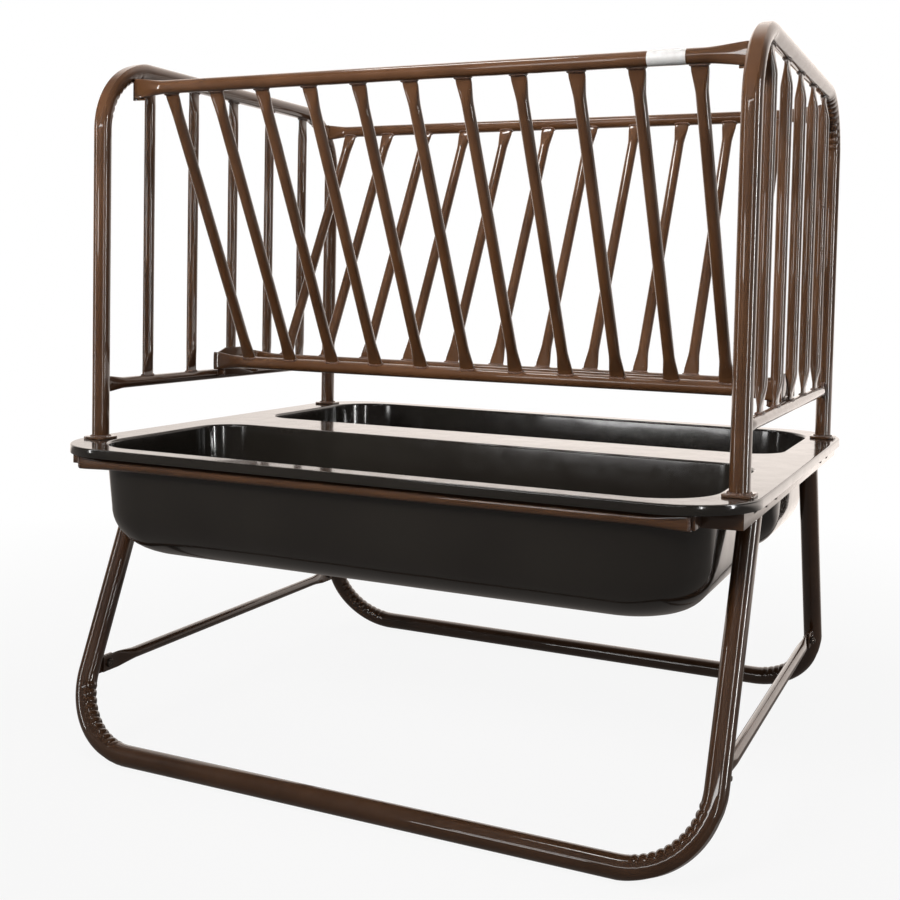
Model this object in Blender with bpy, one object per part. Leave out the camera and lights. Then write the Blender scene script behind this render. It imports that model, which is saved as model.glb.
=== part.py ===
"""Pasture horse feeder: a V-shaped hay rack of welded tube over a two-trough moulded basin, on two
bent-tube leg frames. Metres, +Z up, floor at Z = 0, origin on the floor under the middle.
X runs along the troughs, Y across them, front is -Y."""

import math

import bmesh
import bpy
from mathutils import Vector

for leftover in list(bpy.data.objects):
    bpy.data.objects.remove(leftover, do_unlink=True)

# Fits
SEAT_GAP = 0.0003  # between two pieces that lie against each other
HOLE_CLEARANCE = 0.0006  # round a bolt, on the radius
WELD_BITE = 0.004  # how far a welded plate runs into the tube it is welded to

# End frames: an upside-down U of tube, a cross tube and upright bars
FRAME_FROM_BASIN_END = 0.041  # from the plane of an end frame to the end of the basin
UPRIGHT_FROM_BASIN_SIDE = 0.150
HOOP_DIAMETER = 0.0381
HOOP_RISE = 0.843  # centre of the top bar above the basin's flange
HOOP_BEND_RADIUS = 0.152
CROSS_TUBE_DIAMETER = 0.0254
CROSS_TUBE_RISE = 0.1215  # centre above the basin's flange
CROSS_TUBE_FLAT = 0.009  # thickness of its pressed ends
END_BAR_COUNT = 5
END_BAR_PITCH = 0.1655
FOOT_PLATE_SIDE = 0.058
FOOT_PLATE_THICKNESS = 0.005
FOOT_PLATE_CORNER = 0.012

# Hay panels: two rails and the bars between them
PANEL_TOP_FROM_UPRIGHT = 0.084  # from a top rail to the uprights' line
PANEL_TOP_DROP = 0.0485  # top rail centre below the hoop's top bar centre
PANEL_BOTTOM_SPREAD = 0.156
RAIL_DIAMETER = 0.0302
RAIL_FLAT = 0.006  # thickness of its pressed ends
BOTTOM_RAIL_FROM_FRAME = 0.005  # how far each end stops short of the end frame's plane
PANEL_BAR_COUNT = 11
PANEL_BAR_PITCH = 0.1207
BAR_DIAMETER = 0.0254
BAR_FLAT = 0.009

# Pressed tube ends
BAR_FLAT_LENGTH = 0.012
BAR_FLARE_LENGTH = 0.045
RAIL_FLAT_LENGTH = 0.030
RAIL_FLARE_LENGTH = 0.040

# Basin: one moulding with a flange, a turned-down lip and two troughs
FLANGE_HEIGHT = 0.683  # top of the flange above the floor
BASIN_LENGTH = 1.524
BASIN_WIDTH = 1.282
BASIN_CORNER = 0.160
BASIN_WALL = 0.005
LIP_HEIGHT = 0.019
LIP_ROUNDING = 0.006
WEB_WIDTH = 0.160  # flange between the two troughs
TROUGH_CORNER_OUTER = 0.130
TROUGH_CORNER_WEB = 0.085
TROUGH_DEPTH = 0.236
TROUGH_DRAFT = 0.010  # how far a wall leans in before the bottom rounding
TROUGH_EDGE_ROUNDING = 0.012
TROUGH_BOTTOM_ROUNDING = 0.100
TROUGH_CORNER_SHARE = 0.35  # how much tighter the corners get as the trough narrows
TROUGH_TO_LEG = 0.004
TROUGH_TO_RAIL = 0.004

# Basin frame: an angle at each end and a tube under each long side
ANGLE_HEIGHT = 0.044
ANGLE_DEPTH = 0.034
ANGLE_THICKNESS = 0.004
ANGLE_END_FROM_RAIL = 0.060  # from the angle's corner to the basin rail, across the feeder
SHELF_FROM_ANGLE_END = 0.084
ANGLE_FROM_LIP = 0.014  # between the lip's inner face and the angle's outer face
WING_REACH_X = 0.074  # the plate at each end of an angle
WING_REACH_Y = 0.009
BASIN_RAIL_DIAMETER = 0.0254
BASIN_RAIL_FLAT = 0.017
BASIN_RAIL_FROM_WING = 0.003  # how far a rail stops short of the end plate's edge
BASIN_RAIL_FROM_SIDE = 0.027  # from the side of the basin to the rail
BASIN_RAIL_DROP = 0.033  # centre below the top of the flange
RAIL_END_PLATE = 0.004

# Leg frames: a U of tube on the floor, leaning in to the end angles
LEG_DIAMETER = 0.04445
FLOOR_RAIL_FROM_SIDE = 0.041  # from the side of the basin to the floor rail
LEG_TOP_SPREAD = 0.642  # between the leg tops, across the feeder
LEG_LEAN_IN = 0.0055  # how far a leg leans in along the feeder, from top to floor
LEG_BEND_RADIUS = 0.160
BOLT_PLATE_LENGTH = 0.136
BOLT_PLATE_HEIGHT = 0.034
BOLT_PLATE_THICKNESS = 0.006
LEG_BOLT_SPACING = 0.094

# Braces between the two leg frames
BRACE_HEIGHT = 0.170
BRACE_DIAMETER = 0.0254
BRACE_FLAT = 0.005
BRACE_FLAT_LENGTH = 0.050
BRACE_FLARE_LENGTH = 0.060
LUG_LENGTH = 0.046
LUG_HEIGHT = 0.038
LUG_THICKNESS = 0.005
LUG_BOLT_FROM_END = 0.015
BRACE_END_MARGIN = 0.018  # from the bolt to the brace's end

# Tabs and brackets that carry the ends of the hay panels
TAB_WIDTH = 0.034
TAB_THICKNESS = 0.005
TAB_PAST_RAIL_END = 0.009
TAB_BELOW_RAIL = 0.004
BRACKET_THICKNESS = 0.005
BRACKET_EAR = 0.015
BRACKET_RISE = 0.068  # top of its raised middle above the cross tube's centre
BRACKET_SHOULDER = 0.030  # how far the raised middle slopes down to each side
BRACKET_DROP = 0.004  # bracket's lower edge under the cross tube's centre

# Bolts
BOLT_DIAMETER = 0.010
BOLT_HEAD_ACROSS = 0.017
BOLT_HEAD_HEIGHT = 0.0064
NUT_HEIGHT = 0.008
BOLT_END = 0.004  # thread past the nut

# Wrinkles pressed into the inner side of each bend
CRIMP_COUNT_HOOP = 10
CRIMP_COUNT_LEG = 11
CRIMP_SHARE = 0.80  # of the bend's angle
CRIMP_RIDGE = 0.0012
CRIMP_GROOVE = 0.0026

# Facets
HOOP_SIDES = 14
LEG_SIDES = 14
RAIL_SIDES = 14
BAR_SIDES = 10
BOLT_SIDES = 6
HOLE_SIDES = 12
CORNER_STEPS = 6
SMOOTH_ANGLE = math.radians(40)

ENDS = (("left", -1), ("right", 1))
SIDES = (("front", -1), ("back", 1))

# Places that follow from the sizes above
FRAME_X = BASIN_LENGTH / 2 - FRAME_FROM_BASIN_END
UPRIGHT_Y = BASIN_WIDTH / 2 - UPRIGHT_FROM_BASIN_SIDE
HOOP_RADIUS = HOOP_DIAMETER / 2
TOP_BAR_Z = FLANGE_HEIGHT + HOOP_RISE
CROSS_TUBE_Z = FLANGE_HEIGHT + CROSS_TUBE_RISE
CROSS_TUBE_TOP = CROSS_TUBE_Z + CROSS_TUBE_DIAMETER / 2
FOOT_PLATE_BOTTOM = FLANGE_HEIGHT + SEAT_GAP


def pressed_width(diameter, thickness):
    """Width of a round tube's end once it is pressed to a thickness, with the same girth."""
    return thickness + math.pi * (diameter - thickness) / 2


RAIL_FLAT_WIDTH = pressed_width(RAIL_DIAMETER, RAIL_FLAT)
TOP_RAIL_LENGTH = 2 * FRAME_X - HOOP_DIAMETER - 2 * SEAT_GAP
TOP_RAIL_Y = UPRIGHT_Y - PANEL_TOP_FROM_UPRIGHT
TOP_RAIL_Z = TOP_BAR_Z - PANEL_TOP_DROP
BOTTOM_RAIL_LENGTH = 2 * (FRAME_X - BOTTOM_RAIL_FROM_FRAME)
BOTTOM_RAIL_Y = PANEL_BOTTOM_SPREAD / 2
BOTTOM_RAIL_Z = CROSS_TUBE_TOP + SEAT_GAP + RAIL_FLAT_WIDTH / 2

FLANGE_UNDERSIDE = FLANGE_HEIGHT - BASIN_WALL
LIP_BOTTOM = FLANGE_HEIGHT - LIP_HEIGHT
ANGLE_X = BASIN_LENGTH / 2 - BASIN_WALL - ANGLE_FROM_LIP
ANGLE_TOP = FLANGE_UNDERSIDE - SEAT_GAP
ANGLE_BOTTOM = ANGLE_TOP - ANGLE_HEIGHT
BASIN_RAIL_Y = BASIN_WIDTH / 2 - BASIN_RAIL_FROM_SIDE
ANGLE_Y = BASIN_RAIL_Y - ANGLE_END_FROM_RAIL

LEG_RADIUS = LEG_DIAMETER / 2
FLOOR_RAIL_Z = LEG_RADIUS * math.cos(math.pi / LEG_SIDES)
LEG_TOP_Z = ANGLE_TOP - ANGLE_THICKNESS - SEAT_GAP
BOLT_PLATE_FACE = ANGLE_X - ANGLE_THICKNESS - SEAT_GAP
LEG_TOP_X = BOLT_PLATE_FACE - BOLT_PLATE_THICKNESS + WELD_BITE / 4 - LEG_RADIUS
LEG_TOP_Y = LEG_TOP_SPREAD / 2
LEG_FLOOR_X = LEG_TOP_X - LEG_LEAN_IN
LEG_FLOOR_Y = BASIN_WIDTH / 2 - FLOOR_RAIL_FROM_SIDE
LEG_RISE = LEG_TOP_Z - FLOOR_RAIL_Z

TROUGH_HALF_LENGTH = LEG_TOP_X - LEG_RADIUS - TROUGH_TO_LEG - BASIN_WALL
TROUGH_OUTER_Y = BASIN_RAIL_Y - BASIN_RAIL_DIAMETER / 2 - TROUGH_TO_RAIL - BASIN_WALL
BASIN_RAIL_Z = FLANGE_HEIGHT - BASIN_RAIL_DROP
WING_END_X = ANGLE_X - WING_REACH_X
WING_END_Y = ANGLE_Y + WING_REACH_Y
BASIN_RAIL_REACH = WING_END_X - BASIN_RAIL_FROM_WING


def leg_point(height):
    """Centre of the right front leg at a height, as (x, distance from the middle in Y)."""
    share = (height - FLOOR_RAIL_Z) / LEG_RISE
    x = LEG_FLOOR_X + (LEG_TOP_X - LEG_FLOOR_X) * share
    y = LEG_FLOOR_Y + (LEG_TOP_Y - LEG_FLOOR_Y) * share
    return x, y


def paint(name, colour, roughness, metallic=0.0):
    """A Principled material from an sRGB hex colour."""
    made = bpy.data.materials.new(name)
    made.use_nodes = True
    shader = made.node_tree.nodes["Principled BSDF"]
    channels = [int(colour[i:i + 2], 16) / 255 for i in (0, 2, 4)]
    linear = [c / 12.92 if c <= 0.04045 else ((c + 0.055) / 1.055) ** 2.4 for c in channels]
    shader.inputs["Base Color"].default_value = (*linear, 1.0)
    shader.inputs["Roughness"].default_value = roughness
    shader.inputs["Metallic"].default_value = metallic
    made.diffuse_color = (*linear, 1.0)
    return made


def place(name, mesh, colour, roughness, metallic=0.0):
    """Links a mesh as a named object with its own material."""
    mesh.materials.append(paint(name + "_finish", colour, roughness, metallic))
    mesh.shade_smooth()
    mesh.set_sharp_from_angle(angle=SMOOTH_ANGLE)
    made = bpy.data.objects.new(name, mesh)
    bpy.context.scene.collection.objects.link(made)
    return made


def brown(name, mesh):
    return place(name, mesh, "4a3122", 0.22)


def helper(name, mesh):
    """A cutter or a welded-on shape: it only takes part in Booleans."""
    made = bpy.data.objects.new(name, mesh)
    bpy.context.scene.collection.objects.link(made)
    made.hide_render = True
    made.display_type = "WIRE"
    return made


def combine(target, other, operation):
    modifier = target.modifiers.new(other.name, "BOOLEAN")
    modifier.operation = operation
    modifier.solver = "EXACT"
    modifier.object = other


def finish(bm, name):
    bmesh.ops.recalc_face_normals(bm, faces=bm.faces)
    mesh = bpy.data.meshes.new(name)
    bm.to_mesh(mesh)
    bm.free()
    return mesh


def skinned(name, rings):
    """A closed solid through a list of rings that all have the same number of points."""
    bm = bmesh.new()
    rows = [[bm.verts.new(point) for point in ring] for ring in rings]
    count = len(rows[0])
    for low, high in zip(rows, rows[1:]):
        for k in range(count):
            after = (k + 1) % count
            bm.faces.new((low[k], low[after], high[after], high[k]))
    bm.faces.new(rows[0])
    bm.faces.new(rows[-1])
    return finish(bm, name)


def prism(name, corners, thickness_vector):
    """A flat plate: an outline pushed along a vector."""
    rings = [[Vector(c) for c in corners], [Vector(c) + thickness_vector for c in corners]]
    return skinned(name, rings)


def box(name, low, high):
    (x1, y1, z1), (x2, y2, z2) = low, high
    corners = [(x1, y1, z1), (x2, y1, z1), (x2, y2, z1), (x1, y2, z1)]
    return prism(name, corners, Vector((0, 0, z2 - z1)))


def rod(name, centre, axis, radius, length, sides):
    """A straight round cutter centred on a point."""
    axis = axis.normalized()
    across = axis.orthogonal().normalized()
    over = axis.cross(across)
    rings = []
    for end in (-0.5, 0.5):
        middle = centre + axis * length * end
        turn = [2 * math.pi * k / sides for k in range(sides)]
        rings.append([middle + across * radius * math.cos(a) + over * radius * math.sin(a) for a in turn])
    return skinned(name, rings)


def oval(centre, wide, thin, half_wide, half_thin, roundness, sides):
    """A tube's section: a circle at roundness 1, a pressed tube below it."""
    points = []
    for k in range(sides):
        angle = 2 * math.pi * k / sides
        c, s = math.cos(angle), math.sin(angle)
        a = math.copysign(abs(c) ** roundness, c) * half_wide
        b = math.copysign(abs(s) ** roundness, s) * half_thin
        points.append(centre + wide * a + thin * b)
    return points


def pressed_tube(name, start, end, wide, diameter, thickness, flat, flare, sides):
    """A straight tube whose two ends are pressed flat, wide along one direction."""
    along = (end - start).normalized()
    length = (end - start).length
    wide = (wide - along * wide.dot(along)).normalized()
    thin = along.cross(wide)
    width = pressed_width(diameter, thickness)
    steps = ((0.0, 0.0), (flat, 0.0), (flat + flare * 0.45, 0.55), (flat + flare, 1.0))
    stations = list(steps) + [(length - at, share) for at, share in reversed(steps)]
    rings = []
    for at, share in stations:
        half_wide = (width + (diameter - width) * share) / 2
        half_thin = (thickness + (diameter - thickness) * share) / 2
        rings.append(oval(start + along * at, wide, thin, half_wide, half_thin, 0.75 + 0.25 * share, sides))
    return skinned(name, rings)


def bend_path(start, corner, end, radius, crimps):
    """Points of a tube's centreline round one bend, as (point, direction, inward, crimp height)."""
    back = (start - corner).normalized()
    on = (end - corner).normalized()
    opening = back.angle(on)
    reach = radius / math.tan(opening / 2)
    centre = corner + (back + on).normalized() * radius / math.sin(opening / 2)
    first = (corner + back * reach - centre).normalized()
    turn = math.pi - opening
    forward = (-back - first * (-back).dot(first)).normalized()
    marks = [(0.0, 0.0)]
    lead = turn * (1 - CRIMP_SHARE) / 2
    pitch = turn * CRIMP_SHARE / crimps
    for k in range(crimps):
        marks.append((lead + pitch * (k + 0.02), -CRIMP_GROOVE if k else 0.0))
        marks.append((lead + pitch * (k + 0.5), CRIMP_RIDGE))
    marks.append((turn - lead, 0.0))
    marks.append((turn, 0.0))
    path = []
    for angle, crimp in marks:
        out = first * math.cos(angle) + forward * math.sin(angle)
        direction = forward * math.cos(angle) - first * math.sin(angle)
        path.append((centre + out * radius, direction, -out, crimp))
    return path


def bent_tube_rings(path, normal, radius, sides, phase):
    """Rings along a bent centreline, wrinkled on the side that faces inwards."""
    rings = []
    for point, direction, inward, crimp in path:
        ring = []
        for k in range(sides):
            angle = phase + 2 * math.pi * k / sides
            c, s = math.cos(angle), math.sin(angle)
            size = radius + crimp * max(0.0, c) ** 2
            ring.append(point + inward * size * c + normal * size * s)
        rings.append(ring)
    return rings


def u_frame_rings(feet, corners, radius, bend_radius, crimps, sides, phase):
    """A tube bent into a U: up one leg, along the bar and down the other leg."""
    (start, end), (first, second) = feet, corners
    path = bend_path(start, first, second, bend_radius, crimps)
    path += bend_path(first, second, end, bend_radius, crimps)
    up = (first - start).normalized()
    down = (end - second).normalized()
    path.insert(0, (start, up, path[0][2], 0.0))
    path.append((end, down, path[-1][2], 0.0))
    normal = up.cross(path[0][2]).normalized()
    return bent_tube_rings(path, normal, radius, sides, phase)


def level_ring(ring, direction, height):
    """Slides each point of a ring along the tube until it reaches one height."""
    return [point + direction * ((height - point.z) / direction.z) for point in ring]


def hoop_underside(y):
    """Lowest point of a hoop's top bar at a distance from the middle, bends included."""
    past = abs(y) - (UPRIGHT_Y - HOOP_BEND_RADIUS)
    if past <= 0:
        return TOP_BAR_Z - HOOP_RADIUS
    inner = HOOP_BEND_RADIUS - HOOP_RADIUS
    round_drop = inner - math.sqrt(inner ** 2 - past ** 2)
    first_facet = math.pi / 2 * (1 - CRIMP_SHARE) / 2
    return TOP_BAR_Z - HOOP_RADIUS - max(round_drop, past * math.tan(first_facet / 2))


def rounded_outline(half_x, y_low, y_high, corner_low, corner_high, z):
    """A rounded rectangle, counter-clockwise from above, with a corner radius for each long side."""
    points = []
    middles = (
        (half_x - corner_low, y_low + corner_low, corner_low, -math.pi / 2),
        (half_x - corner_high, y_high - corner_high, corner_high, 0.0),
        (-half_x + corner_high, y_high - corner_high, corner_high, math.pi / 2),
        (-half_x + corner_low, y_low + corner_low, corner_low, math.pi),
    )
    for cx, cy, corner, turn in middles:
        for k in range(CORNER_STEPS + 1):
            angle = turn + math.pi / 2 * k / CORNER_STEPS
            points.append(Vector((cx + corner * math.cos(angle), cy + corner * math.sin(angle), z)))
    return points


def basin_outline(inset, z):
    half_y = BASIN_WIDTH / 2 - inset
    corner = BASIN_CORNER - inset
    return rounded_outline(BASIN_LENGTH / 2 - inset, -half_y, half_y, corner, corner, z)


def trough_outline(side, inset, tighter, z):
    """One trough's section: side is -1 at the front and +1 at the back."""
    half_x = TROUGH_HALF_LENGTH - inset
    outer = TROUGH_OUTER_Y - inset
    inner = WEB_WIDTH / 2 + TROUGH_EDGE_ROUNDING + inset
    outer_corner = TROUGH_CORNER_OUTER - tighter
    web_corner = TROUGH_CORNER_WEB - tighter
    if side < 0:
        return rounded_outline(half_x, -outer, -inner, outer_corner, web_corner, z)
    return rounded_outline(half_x, inner, outer, web_corner, outer_corner, z)


def trough_rings(side):
    """From the flange down over the rounded edge, the leaning wall and the bottom rounding."""
    rings = []
    for k in range(4):
        angle = math.pi / 2 * k / 3
        inset = TROUGH_EDGE_ROUNDING * (math.sin(angle) - 1)
        drop = TROUGH_EDGE_ROUNDING * (1 - math.cos(angle))
        rings.append(trough_outline(side, inset, inset, FLANGE_HEIGHT - drop))
    wall_end = TROUGH_DEPTH - TROUGH_BOTTOM_ROUNDING
    for k in range(6):
        angle = math.pi / 2 * k / 5
        inset = TROUGH_DRAFT + TROUGH_BOTTOM_ROUNDING * (1 - math.cos(angle))
        drop = wall_end + TROUGH_BOTTOM_ROUNDING * math.sin(angle)
        rings.append(trough_outline(side, inset, inset * TROUGH_CORNER_SHARE, FLANGE_HEIGHT - drop))
    return rings


def make_basin():
    """The moulded skin as one sheet, thickened downwards and inwards."""
    bm = bmesh.new()

    def row(points):
        return [bm.verts.new(point) for point in points]

    def bridge(upper, lower):
        count = len(upper)
        for k in range(count):
            after = (k + 1) % count
            bm.faces.new((upper[k], upper[after], lower[after], lower[k]))

    lip = [row(basin_outline(0.0, LIP_BOTTOM)), row(basin_outline(0.0, FLANGE_HEIGHT - LIP_ROUNDING))]
    lip.append(row(basin_outline(LIP_ROUNDING * 0.3, FLANGE_HEIGHT - LIP_ROUNDING * 0.3)))
    lip.append(row(basin_outline(LIP_ROUNDING, FLANGE_HEIGHT)))
    for lower, upper in zip(lip, lip[1:]):
        bridge(upper, lower)
    edges = [bm.edges.get((a, b)) for a, b in zip(lip[-1], lip[-1][1:] + lip[-1][:1])]
    for side in (-1, 1):
        rows = [row(points) for points in trough_rings(side)]
        for upper, lower in zip(rows, rows[1:]):
            bridge(upper, lower)
        bm.faces.new(rows[-1])
        edges += [bm.edges.get((a, b)) for a, b in zip(rows[0], rows[0][1:] + rows[0][:1])]
    bmesh.ops.triangle_fill(bm, use_beauty=True, edges=edges, normal=(0, 0, 1))
    bmesh.ops.recalc_face_normals(bm, faces=bm.faces)
    flat = max(bm.faces, key=lambda face: face.calc_center_median().z)
    if flat.normal.z < 0:
        bmesh.ops.reverse_faces(bm, faces=bm.faces)
    mesh = bpy.data.meshes.new("basin")
    bm.to_mesh(mesh)
    bm.free()
    basin = place("basin", mesh, "14161a", 0.18)
    wall = basin.modifiers.new("wall", "SOLIDIFY")
    wall.thickness = BASIN_WALL
    wall.offset = -1.0
    wall.use_even_offset = True
    return basin


def rounded_plate(name, centre_x, centre_y, side, corner, bottom, thickness):
    half = side / 2
    outline = rounded_outline(half, -half, half, corner, corner, bottom)
    shift = Vector((centre_x, centre_y, 0))
    rings = [[point + shift for point in outline]]
    rings.append([point + Vector((0, 0, thickness)) for point in rings[0]])
    return skinned(name, rings)


def make_hoop(word, end):
    """Uprights and top bar in one bent tube, with foot plates and the tabs for the top rails."""
    x = end * FRAME_X
    foot_z = FOOT_PLATE_BOTTOM + FOOT_PLATE_THICKNESS / 2
    feet = (Vector((x, -UPRIGHT_Y, foot_z)), Vector((x, UPRIGHT_Y, foot_z)))
    corners = (Vector((x, -UPRIGHT_Y, TOP_BAR_Z)), Vector((x, UPRIGHT_Y, TOP_BAR_Z)))
    rings = u_frame_rings(feet, corners, HOOP_RADIUS, HOOP_BEND_RADIUS, CRIMP_COUNT_HOOP, HOOP_SIDES, 0.0)
    hoop = brown(word + "_end_hoop", skinned(word + "_end_hoop", rings))
    for place_word, side in SIDES:
        label = word + "_" + place_word
        plate = rounded_plate(
            label + "_foot_plate", x, side * UPRIGHT_Y, FOOT_PLATE_SIDE, FOOT_PLATE_CORNER, FOOT_PLATE_BOTTOM,
            FOOT_PLATE_THICKNESS)
        combine(hoop, helper(label + "_foot_plate", plate), "UNION")
        near = side * (TOP_RAIL_Y - RAIL_FLAT / 2 - SEAT_GAP)
        far = near - side * TAB_THICKNESS
        outer = end * (TOP_RAIL_LENGTH / 2 + TAB_PAST_RAIL_END)
        inner = outer - end * TAB_WIDTH
        low = TOP_RAIL_Z - RAIL_FLAT_WIDTH / 2 - TAB_BELOW_RAIL
        high = TOP_RAIL_Z + RAIL_FLAT_WIDTH / 2 - WELD_BITE / 4
        tab = box(
            label + "_tab", (min(outer, inner), min(near, far), low), (max(outer, inner), max(near, far), high))
        combine(hoop, helper(label + "_tab", tab), "UNION")


def make_cross_tube(word, end):
    """Lower bar of an end frame, with the bracket that carries the bottom rails."""
    x = end * FRAME_X
    reach = UPRIGHT_Y - HOOP_RADIUS - SEAT_GAP
    name = word + "_end_cross_tube"
    tube = brown(name, pressed_tube(
        name, Vector((x, -reach, CROSS_TUBE_Z)), Vector((x, reach, CROSS_TUBE_Z)), Vector((0, 0, 1)),
        CROSS_TUBE_DIAMETER, CROSS_TUBE_FLAT, BAR_FLAT_LENGTH, BAR_FLARE_LENGTH, HOLE_SIDES))
    outer = FRAME_X - BAR_DIAMETER / 2 - 2 * SEAT_GAP
    inner = outer - BRACKET_THICKNESS
    half = BOTTOM_RAIL_Y - RAIL_FLAT / 2 - SEAT_GAP
    low = CROSS_TUBE_Z - BRACKET_DROP
    rail_top = BOTTOM_RAIL_Z + RAIL_FLAT_WIDTH / 2
    middle_top = CROSS_TUBE_Z + BRACKET_RISE
    outline = [(-half, low), (half, low), (half, rail_top), (half - BRACKET_SHOULDER, middle_top)]
    outline += [(-half + BRACKET_SHOULDER, middle_top), (-half, rail_top)]
    plate = prism(
        word + "_bracket", [(end * inner, py, pz) for py, pz in outline],
        Vector((end * BRACKET_THICKNESS, 0, 0)))
    combine(tube, helper(word + "_bracket", plate), "UNION")
    xs = sorted((end * (outer - WELD_BITE / 4), end * (FRAME_X - WELD_BITE)))
    foot = box(word + "_foot", (xs[0], -half, low + WELD_BITE / 4), (xs[1], half, CROSS_TUBE_Z + BRACKET_DROP))
    combine(tube, helper(foot.name, foot), "UNION")
    for side in (-1, 1):
        ys = sorted((side * half, side * (half - BRACKET_THICKNESS)))
        xs = sorted((end * (outer - WELD_BITE / 4), end * (inner - BRACKET_EAR)))
        ear = box(f"{word}_ear_{side}", (xs[0], ys[0], low + WELD_BITE), (xs[1], ys[1], rail_top - WELD_BITE))
        combine(tube, helper(ear.name, ear), "UNION")


def make_end_bars(word, end):
    x = end * FRAME_X
    half_width = pressed_width(BAR_DIAMETER, BAR_FLAT) / 2
    for number in range(END_BAR_COUNT):
        y = (number - (END_BAR_COUNT - 1) / 2) * END_BAR_PITCH
        low = Vector((x, y, CROSS_TUBE_TOP + SEAT_GAP))
        high = Vector((x, y, hoop_underside(abs(y) + half_width) - SEAT_GAP))
        name = f"{word}_end_bar_{number + 1}"
        brown(name, pressed_tube(
            name, low, high, Vector((0, 1, 0)), BAR_DIAMETER, BAR_FLAT, BAR_FLAT_LENGTH, BAR_FLARE_LENGTH,
            BAR_SIDES))


def make_panel(word, side):
    """One hay panel: its two rails and the bars between them."""
    top = Vector((0, side * TOP_RAIL_Y, TOP_RAIL_Z))
    bottom = Vector((0, side * BOTTOM_RAIL_Y, BOTTOM_RAIL_Z))
    for level, middle, length in (("top", top, TOP_RAIL_LENGTH), ("bottom", bottom, BOTTOM_RAIL_LENGTH)):
        name = f"{word}_{level}_rail"
        reach = Vector((length / 2, 0, 0))
        brown(name, pressed_tube(
            name, middle - reach, middle + reach, Vector((0, 0, 1)), RAIL_DIAMETER, RAIL_FLAT, RAIL_FLAT_LENGTH,
            RAIL_FLARE_LENGTH, RAIL_SIDES))
    slope = (top - bottom).normalized()
    seat = slope * (RAIL_DIAMETER / 2 + SEAT_GAP)
    for number in range(PANEL_BAR_COUNT):
        along = Vector(((number - (PANEL_BAR_COUNT - 1) / 2) * PANEL_BAR_PITCH, 0, 0))
        name = f"{word}_panel_bar_{number + 1:02d}"
        brown(name, pressed_tube(
            name, bottom + seat + along, top - seat + along, Vector((1, 0, 0)), BAR_DIAMETER, BAR_FLAT,
            BAR_FLAT_LENGTH, BAR_FLARE_LENGTH, BAR_SIDES))


def make_basin_frame():
    """Welded frame under the basin: an angle at each end and a tube under each long side."""
    thick = ANGLE_THICKNESS
    rise = LIP_BOTTOM - SEAT_GAP - ANGLE_BOTTOM
    half = ANGLE_Y - SHELF_FROM_ANGLE_END
    frame = None
    for word, end in ENDS:
        outer = ANGLE_X
        web = [(outer, -ANGLE_Y), (outer, ANGLE_Y), (WING_END_X, WING_END_Y)]
        web += [(WING_END_X, WING_END_Y - thick), (outer - thick, ANGLE_Y - thick)]
        web += [(outer - thick, -ANGLE_Y + thick), (WING_END_X, -WING_END_Y + thick), (WING_END_X, -WING_END_Y)]
        mesh = prism(word + "_angle", [(end * px, py, ANGLE_BOTTOM) for px, py in web], Vector((0, 0, rise)))
        if frame is None:
            mesh.name = "basin_frame"
            frame = brown("basin_frame", mesh)
        else:
            combine(frame, helper(word + "_angle", mesh), "UNION")
        inner = outer - ANGLE_DEPTH
        middle = ANGLE_BOTTOM + rise / 2
        section = [(outer, middle), (outer, ANGLE_TOP), (inner, ANGLE_TOP), (inner, ANGLE_TOP - thick)]
        section += [(outer - thick, ANGLE_TOP - thick), (outer - thick, middle)]
        shelf = prism(word + "_shelf", [(end * px, -half, pz) for px, pz in section], Vector((0, half * 2, 0)))
        combine(frame, helper(word + "_shelf", shelf), "UNION")
    for word, side in SIDES:
        reach = BASIN_RAIL_REACH
        y = side * BASIN_RAIL_Y
        rail = pressed_tube(
            word + "_basin_rail", Vector((-reach, y, BASIN_RAIL_Z)), Vector((reach, y, BASIN_RAIL_Z)),
            Vector((0, 0, 1)), BASIN_RAIL_DIAMETER, BASIN_RAIL_FLAT, RAIL_FLAT_LENGTH, RAIL_FLARE_LENGTH, RAIL_SIDES)
        near = side * (WING_END_Y - thick / 2)
        for end in (-1, 1):
            xs = sorted((end * (reach - RAIL_END_PLATE / 2), end * (WING_END_X + RAIL_END_PLATE)))
            plate = box(
                f"{word}_end_plate_{end}", (xs[0], min(near, y), BASIN_RAIL_Z - BASIN_RAIL_DIAMETER / 2),
                (xs[1], max(near, y), FLANGE_UNDERSIDE - SEAT_GAP))
            combine(frame, helper(plate.name, plate), "UNION")
        combine(frame, helper(word + "_basin_rail", rail), "UNION")
    for word, end in ENDS:
        for side in (-1, 1):
            for offset in (-1, 1):
                y = side * (leg_bolt_y() + offset * LEG_BOLT_SPACING / 2)
                hole = rod(
                    f"{word}_angle_hole_{side}_{offset}", Vector((end * (ANGLE_X - thick / 2), y, leg_bolt_z())),
                    Vector((1, 0, 0)), BOLT_DIAMETER / 2 + HOLE_CLEARANCE, thick * 4, HOLE_SIDES)
                combine(frame, helper(hole.name, hole), "DIFFERENCE")


def leg_bolt_z():
    return LEG_TOP_Z - BOLT_PLATE_HEIGHT / 2


def leg_bolt_y():
    return leg_point(leg_bolt_z())[1]


def lug_bolt_y():
    """Distance of a brace bolt from the middle: near the lug's free end."""
    lean = math.atan((LEG_FLOOR_Y - LEG_TOP_Y) / LEG_RISE)
    face = leg_point(BRACE_HEIGHT)[1] - LEG_RADIUS / math.cos(lean)
    return face - LUG_LENGTH + LUG_BOLT_FROM_END


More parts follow.
